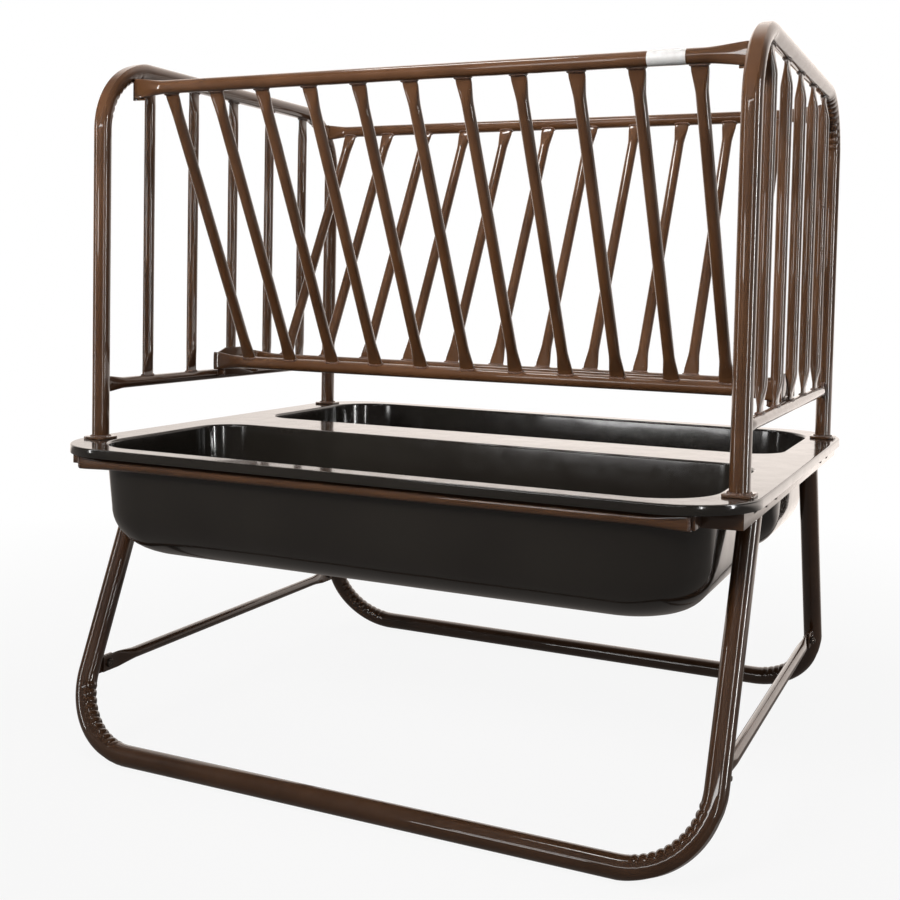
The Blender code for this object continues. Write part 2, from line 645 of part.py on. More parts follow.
def make_leg_frame(word, side):
    """Floor rail and two legs in one bent tube, with its bolt plates and brace lugs."""
    name = word + "_leg_frame"
    top = LEG_TOP_Z + LEG_RADIUS
    top_x, top_y = leg_point(top)
    feet = (Vector((-top_x, side * top_y, top)), Vector((top_x, side * top_y, top)))
    corners = (
        Vector((-LEG_FLOOR_X, side * LEG_FLOOR_Y, FLOOR_RAIL_Z)),
        Vector((LEG_FLOOR_X, side * LEG_FLOOR_Y, FLOOR_RAIL_Z)))
    lean = math.atan((LEG_FLOOR_Y - LEG_TOP_Y) / LEG_RISE)
    phase = side * lean + math.pi / LEG_SIDES
    rings = u_frame_rings(feet, corners, LEG_RADIUS, LEG_BEND_RADIUS, CRIMP_COUNT_LEG, LEG_SIDES, phase)
    rings[0] = level_ring(rings[0], corners[0] - feet[0], LEG_TOP_Z)
    rings[-1] = level_ring(rings[-1], corners[1] - feet[1], LEG_TOP_Z)
    frame = brown(name, skinned(name, rings))
    bolt_y = side * leg_bolt_y()
    lug_x, leg_y = leg_point(BRACE_HEIGHT)
    lug_end = lug_bolt_y() - LUG_BOLT_FROM_END
    for end_word, end in ENDS:
        label = f"{word}_{end_word}"
        inner = BOLT_PLATE_FACE - BOLT_PLATE_THICKNESS
        plate = box(
            label + "_bolt_plate",
            (min(end * inner, end * BOLT_PLATE_FACE), bolt_y - BOLT_PLATE_LENGTH / 2, LEG_TOP_Z - BOLT_PLATE_HEIGHT),
            (max(end * inner, end * BOLT_PLATE_FACE), bolt_y + BOLT_PLATE_LENGTH / 2, LEG_TOP_Z))
        combine(frame, helper(label + "_bolt_plate", plate), "UNION")
        for offset in (-1, 1):
            hole = rod(
                f"{label}_plate_hole_{offset}",
                Vector((end * (inner + BOLT_PLATE_FACE) / 2, bolt_y + offset * LEG_BOLT_SPACING / 2, leg_bolt_z())),
                Vector((1, 0, 0)), BOLT_DIAMETER / 2 + HOLE_CLEARANCE, BOLT_PLATE_THICKNESS * 3, HOLE_SIDES)
            combine(frame, helper(hole.name, hole), "DIFFERENCE")
        near = min(side * lug_end, side * leg_y)
        far = max(side * lug_end, side * leg_y)
        lug = box(
            label + "_lug",
            (end * lug_x - LUG_THICKNESS / 2, near, BRACE_HEIGHT - LUG_HEIGHT / 2),
            (end * lug_x + LUG_THICKNESS / 2, far, BRACE_HEIGHT + LUG_HEIGHT / 2))
        combine(frame, helper(label + "_lug", lug), "UNION")
        hole = rod(
            label + "_lug_hole", Vector((end * lug_x, side * lug_bolt_y(), BRACE_HEIGHT)), Vector((1, 0, 0)),
            BOLT_DIAMETER / 2 + HOLE_CLEARANCE, LUG_THICKNESS * 4, HOLE_SIDES)
        combine(frame, helper(label + "_lug_hole", hole), "DIFFERENCE")


def brace_x():
    """Distance of a brace's centre from the middle: flat against the inner face of the lugs."""
    return leg_point(BRACE_HEIGHT)[0] - LUG_THICKNESS / 2 - SEAT_GAP - BRACE_FLAT / 2


def make_brace(word, end):
    name = word + "_brace"
    reach = lug_bolt_y() + BRACE_END_MARGIN
    x = end * brace_x()
    brace = brown(name, pressed_tube(
        name, Vector((x, -reach, BRACE_HEIGHT)), Vector((x, reach, BRACE_HEIGHT)), Vector((0, 0, 1)),
        BRACE_DIAMETER, BRACE_FLAT, BRACE_FLAT_LENGTH, BRACE_FLARE_LENGTH, HOLE_SIDES))
    for side in (-1, 1):
        hole = rod(
            f"{name}_hole_{side}", Vector((x, side * lug_bolt_y(), BRACE_HEIGHT)), Vector((1, 0, 0)),
            BOLT_DIAMETER / 2 + HOLE_CLEARANCE, BRACE_DIAMETER * 2, HOLE_SIDES)
        combine(brace, helper(hole.name, hole), "DIFFERENCE")


def make_bolt(name, head_face, direction, grip):
    """A hexagon bolt with its nut: the head lies on head_face and the shank runs along direction."""
    direction = direction.normalized()
    across = direction.orthogonal().normalized()
    over = direction.cross(across)
    hexagon = BOLT_HEAD_ACROSS / 2 / math.cos(math.pi / BOLT_SIDES)
    shank = BOLT_DIAMETER / 2
    nut_face = grip + SEAT_GAP
    nut_end = nut_face + NUT_HEIGHT
    profile = (
        (-SEAT_GAP - BOLT_HEAD_HEIGHT, hexagon), (-SEAT_GAP, hexagon), (-SEAT_GAP, shank), (nut_face, shank),
        (nut_face, hexagon), (nut_end, hexagon), (nut_end, shank), (nut_end + BOLT_END, shank))
    rings = []
    for at, size in profile:
        middle = head_face + direction * at
        turn = [2 * math.pi * k / BOLT_SIDES for k in range(BOLT_SIDES)]
        rings.append([middle + across * size * math.cos(a) + over * size * math.sin(a) for a in turn])
    place(name, skinned(name, rings), "2b2a2a", 0.35, 0.8)


make_basin()
make_basin_frame()
for end_word, end in ENDS:
    make_hoop(end_word, end)
    make_cross_tube(end_word, end)
    make_end_bars(end_word, end)
    make_brace(end_word, end)
for side_word, side in SIDES:
    make_panel(side_word, side)
    make_leg_frame(side_word, side)
for end_word, end in ENDS:
    inward = Vector((-end, 0, 0))
    for side_word, side in SIDES:
        corner_word = f"{side_word}_{end_word}"
        brace_face = Vector((end * (brace_x() - BRACE_FLAT / 2), side * lug_bolt_y(), BRACE_HEIGHT))
        make_bolt(corner_word + "_brace_bolt", brace_face, -inward, BRACE_FLAT + SEAT_GAP + LUG_THICKNESS)
        for number, offset in enumerate((-1, 1)):
            y = side * leg_bolt_y() + offset * LEG_BOLT_SPACING / 2
            web_face = Vector((end * ANGLE_X, y, leg_bolt_z()))
            grip = ANGLE_THICKNESS + SEAT_GAP + BOLT_PLATE_THICKNESS
            make_bolt(f"{corner_word}_leg_bolt_{number + 1}", web_face, inward, grip)
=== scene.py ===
from math import atan, copysign, cos, pi, radians, sin, sqrt, tan

import bmesh
import bpy
from mathutils import Matrix, Vector


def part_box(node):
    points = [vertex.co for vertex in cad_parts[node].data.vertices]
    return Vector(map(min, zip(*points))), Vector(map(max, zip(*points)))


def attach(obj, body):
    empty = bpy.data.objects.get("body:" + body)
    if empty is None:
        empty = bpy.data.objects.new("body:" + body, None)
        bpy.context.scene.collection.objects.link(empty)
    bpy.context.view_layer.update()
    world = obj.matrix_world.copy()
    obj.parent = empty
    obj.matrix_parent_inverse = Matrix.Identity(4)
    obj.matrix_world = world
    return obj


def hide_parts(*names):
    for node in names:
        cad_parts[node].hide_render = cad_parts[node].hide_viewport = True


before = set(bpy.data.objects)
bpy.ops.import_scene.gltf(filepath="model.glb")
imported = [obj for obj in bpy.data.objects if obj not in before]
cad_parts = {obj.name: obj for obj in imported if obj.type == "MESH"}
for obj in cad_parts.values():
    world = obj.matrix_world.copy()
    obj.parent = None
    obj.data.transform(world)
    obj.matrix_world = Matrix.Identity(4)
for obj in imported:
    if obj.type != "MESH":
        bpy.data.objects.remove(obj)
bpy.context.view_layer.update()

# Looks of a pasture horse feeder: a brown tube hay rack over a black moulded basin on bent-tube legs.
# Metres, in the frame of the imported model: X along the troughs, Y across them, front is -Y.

# Tube and plate sizes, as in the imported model. Bolted or resting pieces stand a seat gap apart, and
# welded ones run into each other by about a weld bite.
SEAT_GAP = 0.0003
WELD_BITE = 0.004
HOOP_DIAMETER = 0.0381
HOOP_BEND_RADIUS = 0.152
RAIL_DIAMETER = 0.0302
RAIL_FLAT = 0.006
BAR_DIAMETER = 0.0254
BAR_FLAT = 0.009
BAR_FLAT_LENGTH = 0.012
BAR_FLARE_LENGTH = 0.045
RAIL_FLAT_LENGTH = 0.012
RAIL_FLARE_LENGTH = 0.075
# A pressed end: how square its section is against a circle's 1, and how its flare runs out into the tube
PRESSED_SQUARENESS = 0.62
FLARE_CURVE = 1.7
PANEL_BAR_COUNT = 11
END_BAR_COUNT = 5
FOOT_PLATE_SIDE = 0.058
FOOT_PLATE_THICKNESS = 0.005
FOOT_PLATE_CORNER = 0.012
TAB_WIDTH = 0.034
TAB_THICKNESS = 0.005
TAB_PAST_RAIL_END = 0.009
TAB_BELOW_RAIL = 0.004
BRACKET_THICKNESS = 0.005
BRACKET_EAR = 0.015
BRACKET_RISE = 0.068
BRACKET_SHOULDER = 0.030
BRACKET_DROP = 0.004
BRACKET_BEAD_RISE = 0.009

# Basin
BASIN_CORNER = 0.160
BASIN_WALL = 0.005
LIP_HEIGHT = 0.019
LIP_ROUNDING = 0.0035
LIP_FOOT_CHAMFER = (0.0005, 0.0008)
FLAT_BEFORE_ROUNDING = 0.0012
WEB_WIDTH = 0.160
TROUGH_CORNER_OUTER = 0.130
TROUGH_CORNER_WEB = 0.085
TROUGH_DRAFT = 0.010
# The inner wall stands this far from the web's edge; the edge itself is rounded more tightly
TROUGH_EDGE_ROUNDING = 0.012
TROUGH_EDGE_TURN = 0.006
TROUGH_BOTTOM_ROUNDING = 0.100
TROUGH_CORNER_SHARE = 0.35
TROUGH_TO_LEG = 0.004
TROUGH_TO_RAIL = 0.004

# Basin frame
ANGLE_DEPTH = 0.034
ANGLE_THICKNESS = 0.004
ANGLE_LENGTH = 1.108
ANGLE_SHELF_LENGTH = 0.940
WING_REACH_X = 0.074
WING_REACH_Y = 0.009
BASIN_RAIL_DIAMETER = 0.0254
BASIN_RAIL_FLAT = 0.017
BASIN_RAIL_LENGTH = 1.332
BASIN_RAIL_Y = 0.614
BASIN_RAIL_DROP = 0.033
RAIL_END_PLATE = 0.004
# A rail's end bead: how far out it lies against the rail's thickness, and its share of the rail's height
RAIL_BEAD_OUT = 0.42
RAIL_BEAD_SHARE = 0.8

# Legs and braces
LEG_DIAMETER = 0.04445
LEG_FLOOR_SPREAD = 1.200
LEG_TOP_SPREAD = 0.642
LEG_FLOOR_LENGTH = 1.412
LEG_BEND_RADIUS = 0.160
BOLT_PLATE_LENGTH = 0.136
BOLT_PLATE_HEIGHT = 0.034
BOLT_PLATE_THICKNESS = 0.006
BRACE_HEIGHT = 0.170
BRACE_DIAMETER = 0.0254
BRACE_FLAT = 0.005
BRACE_FLAT_LENGTH = 0.050
BRACE_FLARE_LENGTH = 0.060
LUG_HEIGHT = 0.038
LUG_THICKNESS = 0.005
LUG_BOLT_FROM_END = 0.015
BRACE_END_MARGIN = 0.018
# Beads on each side of a leg: along the lug, and down the bolt plate with the leg's lean
LUG_BEAD_SHARE = 0.42
PLATE_BEAD_ASIDE = 0.55
PLATE_BEAD_LEAN = 0.012

# Bolts
BOLT_DIAMETER = 0.010
BOLT_HEAD_ACROSS = 0.017
BOLT_HEAD_HEIGHT = 0.0064
NUT_HEIGHT = 0.008
BOLT_END = 0.004
BOLT_GRIP = 0.0103
BOLT_CHAMFER = 0.0012
# A chamfered face of the head or nut, against its width across the flats
CHAMFERED_FACE = 0.94
THREAD_PITCH = 0.0015
THREAD_DEPTH = 0.0007
THREAD_END_CHAMFER = 0.0005
THREAD_END_CUT = 1.6 * THREAD_DEPTH

# Wrinkles on the inner side of each bend
CRIMP_COUNT_HOOP = 10
CRIMP_COUNT_LEG = 11
CRIMP_SHARE = 0.80
CRIMP_RIDGE = 0.0012
CRIMP_GROOVE = 0.0030
CRIMP_STEPS = 10
# Round bulges with narrow grooves, which fade out towards the sides of the tube
CRIMP_BULGE_POWER = 0.55
CRIMP_FADE_POWER = 1.6
# The bender's shoe leaves the outer side of each bend flat, this far round from its middle
BEND_FLAT_ANGLE = radians(36)
BEND_FLAT_FADE = 0.22

# Fineness of the meshes
TUBE_SIDES = 40
BAR_SIDES = 32
FLARE_STEPS = 12
CORNER_STEPS = 20
EDGE_STEPS = 6
WALL_SHARES = (0.25, 0.5, 0.75)
BOTTOM_STEPS = 14
BOLT_SIDES = 36
RIPPLE_SIDES = 8
RIPPLE_RINGS = 5
STICKER_COLUMNS = 16
STICKER_ROWS = 14
PLATE_BEVEL = 0.0009
BEVEL_STEPS = 2
# Edges that turn by more than these degrees are bevelled on a plate, and stay crisp on a finished piece
BEVEL_ABOVE = 30
CRISP_ABOVE = 32
CRISP_ABOVE_ON_BASIN = 40
CRISP_ABOVE_ON_BOLTS = 30

# Weld beads
RIPPLE_PITCH = 0.0026
RIPPLE_SIZE = 0.0032
# The least and most of a ripple along, across and out of the bead, against its size
RIPPLE_LEAST = (0.55, 0.85, 0.85)
RIPPLE_MOST = (0.75, 1.15, 1.15)
BEAD_POINT_STEP = 0.003
BEAD_FROM_EDGE = 0.003
BEAD_PAST_BAR = 0.001
BEAD_PAST_HOOP = 0.3 * RIPPLE_SIZE
BEAD_ROUNDNESS = 0.6
LOOP_POINTS = 24
ROUND_POINTS = 48

# Bare sticker on the front top rail
STICKER_LEFT = 0.507
STICKER_RIGHT = 0.581
STICKER_THICKNESS = 0.0003
STICKER_IN_COAT = 0.0002
STICKER_HALF_ANGLE = radians(78)

# Camera: where the photograph was taken from
CAMERA_PLACE = Vector((1.163, -2.631, 1.045))
CAMERA_YAW = radians(24.25)
CAMERA_PITCH = radians(-2.64)
CAMERA_ROLL = radians(1.24)
CAMERA_LENS = 48.49
CAMERA_SHIFT = (-0.0268, -0.1203)

SIDES = (("front", -1), ("back", 1))
ENDS = (("left", -1), ("right", 1))
BAR = (BAR_DIAMETER, BAR_FLAT, BAR_FLAT_LENGTH, BAR_FLARE_LENGTH)
HOOP_RADIUS = HOOP_DIAMETER / 2
RAIL_RADIUS = RAIL_DIAMETER / 2
LEG_RADIUS = LEG_DIAMETER / 2
X_AXIS = Vector((1, 0, 0))
Y_AXIS = Vector((0, 1, 0))
Z_AXIS = Vector((0, 0, 1))


def middle_of(node):
    low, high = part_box(node)
    return (low + high) / 2


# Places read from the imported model
basin_low, basin_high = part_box("basin")
BASIN_HALF_X, BASIN_HALF_Y, FLANGE_Z = basin_high
TROUGH_DEPTH = FLANGE_Z - basin_low.z - BASIN_WALL
hoop_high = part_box("right_end_hoop")[1]
UPRIGHT_Y = hoop_high.y - FOOT_PLATE_SIDE / 2
TOP_BAR_Z = hoop_high.z - HOOP_RADIUS
FRAME_X = middle_of("right_end_bar_3").x
CROSS_TUBE_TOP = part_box("right_end_bar_3")[0].z - SEAT_GAP
CROSS_TUBE_Z = CROSS_TUBE_TOP - BAR_DIAMETER / 2
TOP_RAIL = middle_of("back_top_rail")
BOTTOM_RAIL = middle_of("back_bottom_rail")
TOP_RAIL_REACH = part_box("back_top_rail")[1].x
BOTTOM_RAIL_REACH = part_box("back_bottom_rail")[1].x
frame_low, frame_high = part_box("basin_frame")
ANGLE_X = frame_high.x
ANGLE_BOTTOM = frame_low.z
ANGLE_Y = ANGLE_LENGTH / 2
ANGLE_TOP = FLANGE_Z - BASIN_WALL - SEAT_GAP
LIP_BOTTOM = FLANGE_Z - LIP_HEIGHT
BOLT_PLATE_FACE, _, LEG_TOP_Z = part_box("front_leg_frame")[1]
LEG_TOP_X = BOLT_PLATE_FACE - BOLT_PLATE_THICKNESS + WELD_BITE / 4 - LEG_RADIUS
LEG_TOP_Y = LEG_TOP_SPREAD / 2
LEG_FLOOR_X = LEG_FLOOR_LENGTH / 2
LEG_FLOOR_Y = LEG_FLOOR_SPREAD / 2
TROUGH_HALF_X = LEG_TOP_X - LEG_RADIUS - TROUGH_TO_LEG - BASIN_WALL
TROUGH_OUTER_Y = BASIN_RAIL_Y - BASIN_RAIL_DIAMETER / 2 - TROUGH_TO_RAIL - BASIN_WALL
BASIN_RAIL_Z = FLANGE_Z - BASIN_RAIL_DROP
WING_END_X = ANGLE_X - WING_REACH_X
WING_END_Y = ANGLE_Y + WING_REACH_Y
LEG_LEAN = atan((LEG_FLOOR_Y - LEG_TOP_Y) / (LEG_TOP_Z - LEG_RADIUS))
BAR_XS = [middle_of(f"back_panel_bar_{n + 1:02d}").x for n in range(PANEL_BAR_COUNT)]


# Node trees and materials

def linear(hex_colour):
    """An sRGB hex colour as the four linear numbers that a shader takes."""
    channels = [int(hex_colour[i:i + 2], 16) / 255 for i in (1, 3, 5)]
    return tuple(c / 12.92 if c <= 0.04045 else ((c + 0.055) / 1.055) ** 2.4 for c in channels) + (1.0,)


def fill(tree, node, inputs):
    """Gives a node its inputs: each is a plain value, or another node's output, which gets linked."""
    for key, value in inputs.items():
        if isinstance(value, bpy.types.NodeSocket):
            tree.links.new(value, node.inputs[key])
        else:
            node.inputs[key].default_value = value


def add(tree, kind, inputs=None, **settings):
    """Adds a node with its settings and links."""
    made = tree.nodes.new(kind)
    for key, value in settings.items():
        setattr(made, key, value)
    fill(tree, made, inputs or {})
    return made


def new_finish(name):
    """A material, its tree and the place of each point on the piece."""
    made = bpy.data.materials.new(name)
    made.use_nodes = True
    return made, made.node_tree, add(made.node_tree, "ShaderNodeTexCoord").outputs["Object"]


def shaded(made, inputs):
    """Gives the material's shader its numbers, colours and patterns."""
    fill(made.node_tree, made.node_tree.nodes["Principled BSDF"], inputs)
    return made


def patches(tree, place, size, detail, roughness, edges, levels=(0.0, 1.0)):
    """Cloudy patches, each about one size across in metres, that run from one level to another."""
    cloud = add(tree, "ShaderNodeTexNoise", {
        "Vector": place, "Scale": 1.0 / size, "Detail": detail, "Roughness": roughness})
    share = add(tree, "ShaderNodeMapRange", {
        "Value": cloud.outputs["Fac"], "From Min": edges[0], "From Max": edges[1],
        "To Min": levels[0], "To Max": levels[1]})
    return share.outputs["Result"]


def mottled(tree, place, size, detail, roughness, edges, first, second):
    """Cloudy patches that run from one colour to another."""
    share = patches(tree, place, size, detail, roughness, edges)
    return add(tree, "ShaderNodeMix", {
        0: share, 6: linear(first), 7: linear(second)}, data_type="RGBA").outputs[2]


def relief(tree, place, size, detail, roughness, strength, height, under=None):
    """Bumps, each about one size across in metres, on the plain surface or over another relief."""
    bumps = add(tree, "ShaderNodeTexNoise", {
        "Vector": place, "Scale": 1.0 / size, "Detail": detail, "Roughness": roughness})
    inputs = {"Strength": strength, "Distance": height, "Height": bumps.outputs["Fac"]}
    if under is not None:
        inputs["Normal"] = under
    return add(tree, "ShaderNodeBump", inputs).outputs["Normal"]


def along_axis(tree, vector, axis, edges, levels):
    """A level that runs from one to another between two values of X, Y or Z."""
    value = add(tree, "ShaderNodeSeparateXYZ", {0: vector}).outputs[axis]
    share = add(tree, "ShaderNodeMapRange", {
        "Value": value, "From Min": edges[0], "From Max": edges[1],
        "To Min": levels[0], "To Max": levels[1]})
    return share.outputs["Result"]


def dusted(tree, colour, patch, slope, most, dust_colour):
    """Dust that lies in patches on what faces up, from a slope onwards."""
    normal = add(tree, "ShaderNodeNewGeometry").outputs["Normal"]
    level = along_axis(tree, normal, "Z", (slope, 1.0), (0.0, most))
    share = add(tree, "ShaderNodeMath", {0: level, 1: patch}, operation="MULTIPLY")
    return add(tree, "ShaderNodeMix", {
        0: share.outputs[0], 6: colour, 7: linear(dust_colour)}, data_type="RGBA").outputs[2]


def powder_coat():
    """Polyester powder sprayed on steel and baked: an even brown film with a fine ripple and a wet shine.
    Handling leaves a few pale nicks, and a little dust lies on what faces up."""
    made, tree, place = new_finish("baked_polyester_powder_coat_brown")
    # The brown drifts over 140 mm, and dust gathers over 18 mm
    brown = mottled(tree, place, 0.14, 3.0, 0.5, (0.3, 0.7), "#442b19", "#563924")
    dust = patches(tree, place, 0.018, 4.0, 0.65, (0.35, 0.75), (0.2, 1.0))
    dusty = dusted(tree, brown, dust, 0.35, 0.05, "#9a8f86")
    # Nicks of a few millimetres, in zones about 55 mm across that get knocked
    nicks = patches(tree, place, 0.0045, 3.0, 0.6, (0.735, 0.75))
    knocked = patches(tree, place, 0.055, 2.0, 0.5, (0.56, 0.62))
    nick = add(tree, "ShaderNodeMath", {0: nicks, 1: knocked}, operation="MULTIPLY")
    worn = add(tree, "ShaderNodeMix", {
        0: nick.outputs[0], 6: dusty, 7: linear("#b9aea4")}, data_type="RGBA")
    # Smears from hands, about 35 mm across, under the clear shine
    smears = patches(tree, place, 0.035, 5.0, 0.6, (0.35, 0.7), (0.30, 0.42))
    # Ripple of the baked film, finer on the real one: drawn 3 mm from crest to crest so that it shows
    ripple = relief(tree, place, 0.003, 1.0, 0.5, 0.04, 0.00012)
    return shaded(made, {
        "Base Color": worn.outputs[2], "Roughness": smears, "Normal": ripple, "Coat Normal": ripple,
        "IOR": 1.5, "Specular IOR Level": 0.15,
        "Coat Weight": 1.0, "Coat Roughness": 0.03, "Coat IOR": 1.5})


def weld_finish():
    """The same coat over weld metal, in a brown a little lighter than the coat's as painted light that
    keeps the beads bright in shade; gritty where slag and spatter lie under it, so it glints in points.
    """
    made, tree, place = new_finish("powder_coat_over_weld_bead")
    # Grit of slag, drawn 2.5 mm across so that it shows
    grit = 0.0025, 3.0, 0.6
    rough = relief(tree, place, *grit, 0.5, 0.0004)
    return shaded(made, {
        # Painted light: a brown a little lighter than the coat's, so beads under the rails read bright;
        # mottled by the slag grit
        "Base Color": mottled(tree, place, *grit, (0.3, 0.7), "#4a3123", "#66493a"),
        "Roughness": patches(tree, place, *grit, (0.3, 0.7), (0.3, 0.5)),
        "Normal": rough, "Coat Normal": rough,
        "IOR": 1.5, "Coat Weight": 1.0, "Coat Roughness": 0.05, "Coat IOR": 1.5})


def moulded_polyethylene():
    """Black polyethylene, rotationally moulded: a waxy skin with fine grain, soft hollows where it cooled,
    and faint scuffs."""
    made, tree, place = new_finish("rotomoulded_black_polyethylene")
    # The black drifts over 200 mm, and dust gathers over 50 mm
    black = mottled(tree, place, 0.20, 3.0, 0.5, (0.3, 0.7), "#191613", "#211e1a")
    dust = patches(tree, place, 0.05, 5.0, 0.7, (0.35, 0.7), (0.15, 1.0))
    # Grain of the mould, drawn 1.2 mm so that it shows, under cooling hollows about 110 mm across
    grain = relief(tree, place, 0.0012, 1.0, 0.5, 0.10, 0.00008)
    hollows = relief(tree, place, 0.11, 1.0, 0.5, 0.35, 0.003, under=grain)
    # Scuffs from feed and muzzles, in patches about 30 mm across
    scuffs = patches(tree, place, 0.03, 5.0, 0.65, (0.40, 0.75), (0.12, 0.20))
    return shaded(made, {
        "Base Color": dusted(tree, black, dust, 0.6, 0.06, "#8f8a86"),
        "Roughness": scuffs, "Normal": hollows, "Coat Normal": hollows,
        "IOR": 1.51, "Coat Weight": 0.45, "Coat Roughness": 0.04})


def dark_zinc():
    """Zinc-plated steel that has gone dull and brown in the weather, with paler worn patches."""
    made, tree, place = new_finish("weathered_zinc_plate")
    # Stains about 4 mm across
    stain = 0.004, 4.0, 0.6
    return shaded(made, {
        "Base Color": mottled(tree, place, *stain, (0.35, 0.7), "#332d2a", "#776e66"),
        "Roughness": patches(tree, place, *stain, (0.3, 0.7), (0.28, 0.5)),
        "Normal": relief(tree, place, *stain, 0.25, 0.0001), "Metallic": 0.85})


def vinyl_sticker():
    """White vinyl film stuck round the rail: a soft gloss, with faint handling marks and crinkles."""
    made, tree, place = new_finish("white_vinyl_film")
    # Handling marks about 12 mm across, crinkles about 8 mm
    return shaded(made, {
        "Base Color": mottled(tree, place, 0.012, 4.0, 0.6, (0.35, 0.7), "#b6b4b2", "#c2c0be"),
        "Normal": relief(tree, place, 0.008, 2.0, 0.5, 0.25, 0.0003),
        "Roughness": 0.4, "Coat Weight": 0.4, "Coat Roughness": 0.15})


COAT = powder_coat()
WELD = weld_finish()
POLY = moulded_polyethylene()
ZINC = dark_zinc()
VINYL = vinyl_sticker()


# Meshes: a shape is a pair of points and faces

def skin(rings):
    """A shape through rings of points, capped at both ends."""
    count = len(rings[0])
    last = (len(rings) - 1) * count
    points = [Vector(p) for ring in rings for p in ring]
    faces = []
    for here in range(0, last, count):
        for k in range(count):
            after = (k + 1) % count
            faces.append((here + k, here + after, here + count + after, here + count + k))
    faces += [tuple(range(count)), tuple(range(last, last + count))]
    return points, faces


def plate(corners, push):
    """A flat outline pushed along a vector, with its edges rounded over."""
    ring = [Vector(c) for c in corners]
    points, faces = skin([ring, [p + push for p in ring]])
    bm = bmesh.new()
    made = [bm.verts.new(p) for p in points]
    for face in faces:
        bm.faces.new([made[k] for k in face])
    bmesh.ops.recalc_face_normals(bm, faces=bm.faces)
    edges = [edge for edge in bm.edges if edge.calc_face_angle(0.0) > radians(BEVEL_ABOVE)]
    bmesh.ops.bevel(
        bm, geom=edges, offset=PLATE_BEVEL, segments=BEVEL_STEPS, profile=0.5, affect="EDGES",
        clamp_overlap=True)
    bm.verts.index_update()
    result = [v.co.copy() for v in bm.verts], [tuple(v.index for v in face.verts) for face in bm.faces]
    bm.free()
    return result


def block(corner, opposite):
    """A straight bar or plate between two opposite corners, with its edges rounded over."""
    (x1, y1, z1), (x2, y2, z2) = corner, opposite
    x1, x2 = sorted((x1, x2))
    y1, y2 = sorted((y1, y2))
    return plate([(x1, y1, z1), (x2, y1, z1), (x2, y2, z1), (x1, y2, z1)], Z_AXIS * (z2 - z1))


def link_mesh(name, mesh):
    made = bpy.data.objects.new(name, mesh)
    bpy.context.scene.collection.objects.link(made)
    return made


def raw_mesh(name, shapes):
    points, faces = [], []
    for shape_points, shape_faces in shapes:
        start = len(points)
        points += [tuple(p) for p in shape_points]
        faces += [tuple(start + k for k in face) for face in shape_faces]
    mesh = bpy.data.meshes.new(name)
    mesh.from_pydata(points, [], faces)
    bm = bmesh.new()
    bm.from_mesh(mesh)
    bmesh.ops.recalc_face_normals(bm, faces=bm.faces)
    bm.to_mesh(mesh)
    bm.free()
    return mesh


def smooth(mesh, degrees=CRISP_ABOVE):
    mesh.shade_smooth()
    mesh.set_sharp_from_angle(angle=radians(degrees))
    return mesh


def settle(made, nodes):
    """A finished piece: it rides on the frame and stands for the solids that it covers."""
    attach(made, "root")
    if nodes:
        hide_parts(*nodes)


def piece(name, shapes, nodes=(), material=COAT):
    """Shapes in one mesh and one material."""
    mesh = smooth(raw_mesh(name, shapes))
    mesh.materials.append(material)
    settle(link_mesh(name, mesh), nodes)


def plain_copy(made, name):
    """Turns an object with live modifiers into a plain mesh object of the same name."""
    graph = bpy.context.evaluated_depsgraph_get()
    graph.update()
    mesh = bpy.data.meshes.new_from_object(made.evaluated_get(graph))
    bpy.data.objects.remove(made, do_unlink=True)
    mesh.name = name
    return link_mesh(name, mesh)


# Tube shapes

def pressed_width(diameter, thickness):
    """How wide a round tube gets where it is pressed to a thickness."""
    return thickness + pi * (diameter - thickness) / 2


def turns(count):
    """Even angles round a full turn."""
    return [2 * pi * k / count for k in range(count)]


def quarter_turn(steps):
    """Even angles from nothing to a quarter turn."""
    return [pi / 2 * k / steps for k in range(steps + 1)]


def squarish(angle, roundness):
    """A point on a circle at roundness 1, and on a squarer outline below it."""
    c, s = cos(angle), sin(angle)
    return copysign(abs(c) ** roundness, c), copysign(abs(s) ** roundness, s)


def section(centre, wide, thin, half_wide, half_thin, roundness, sides):
    """A tube's section: a circle at roundness 1, a pressed tube with flat faces below it."""
    points = []
    for angle in turns(sides):
        a, b = squarish(angle, roundness)
        points.append(centre + wide * (a * half_wide) + thin * (b * half_thin))
    return points


def pressed_tube(start, end, wide, diameter, thickness, flat, flare, sides=BAR_SIDES):
    """A straight tube whose two ends are pressed flat in a die, wide along one direction."""
    start, end = Vector(start), Vector(end)
    along = (end - start).normalized()
    length = (end - start).length
    wide = (wide - along * wide.dot(along)).normalized()
    thin = along.cross(wide)
    width = pressed_width(diameter, thickness)
    steps = [(0.0, 0.0), (flat / 2, 0.0), (flat, 0.0)]
    for k in range(1, FLARE_STEPS + 1):
        at = k / FLARE_STEPS
        steps.append((flat + flare * at, 1 - (1 - at) ** FLARE_CURVE * (1 + (FLARE_CURVE - 1) * at)))
    stations = steps + [(length - at, share) for at, share in reversed(steps)]
    rings = []
    for at, share in stations:
        share = min(1.0, max(0.0, share))
        half_wide = (width + (diameter - width) * share) / 2
        half_thin = (thickness + (diameter - thickness) * share) / 2
        roundness = PRESSED_SQUARENESS + (1 - PRESSED_SQUARENESS) * share
        rings.append(section(start + along * at, wide, thin, half_wide, half_thin, roundness, sides))
    return skin(rings)


def crimp_height(turned, turn, crimps):
    """How far the inner side stands out or in at a point of a bend. It fades over half a crimp
    at each end."""
    lead = turn * (1 - CRIMP_SHARE) / 2
    at = (turned - lead) / (turn - 2 * lead) * crimps
    if not 0 < at < crimps:
        return 0.0
    fade = min(1.0, at * 2, (crimps - at) * 2)
    bulge = abs(sin(pi * at)) ** CRIMP_BULGE_POWER
    return fade * (CRIMP_RIDGE + CRIMP_GROOVE) * bulge - fade * CRIMP_GROOVE


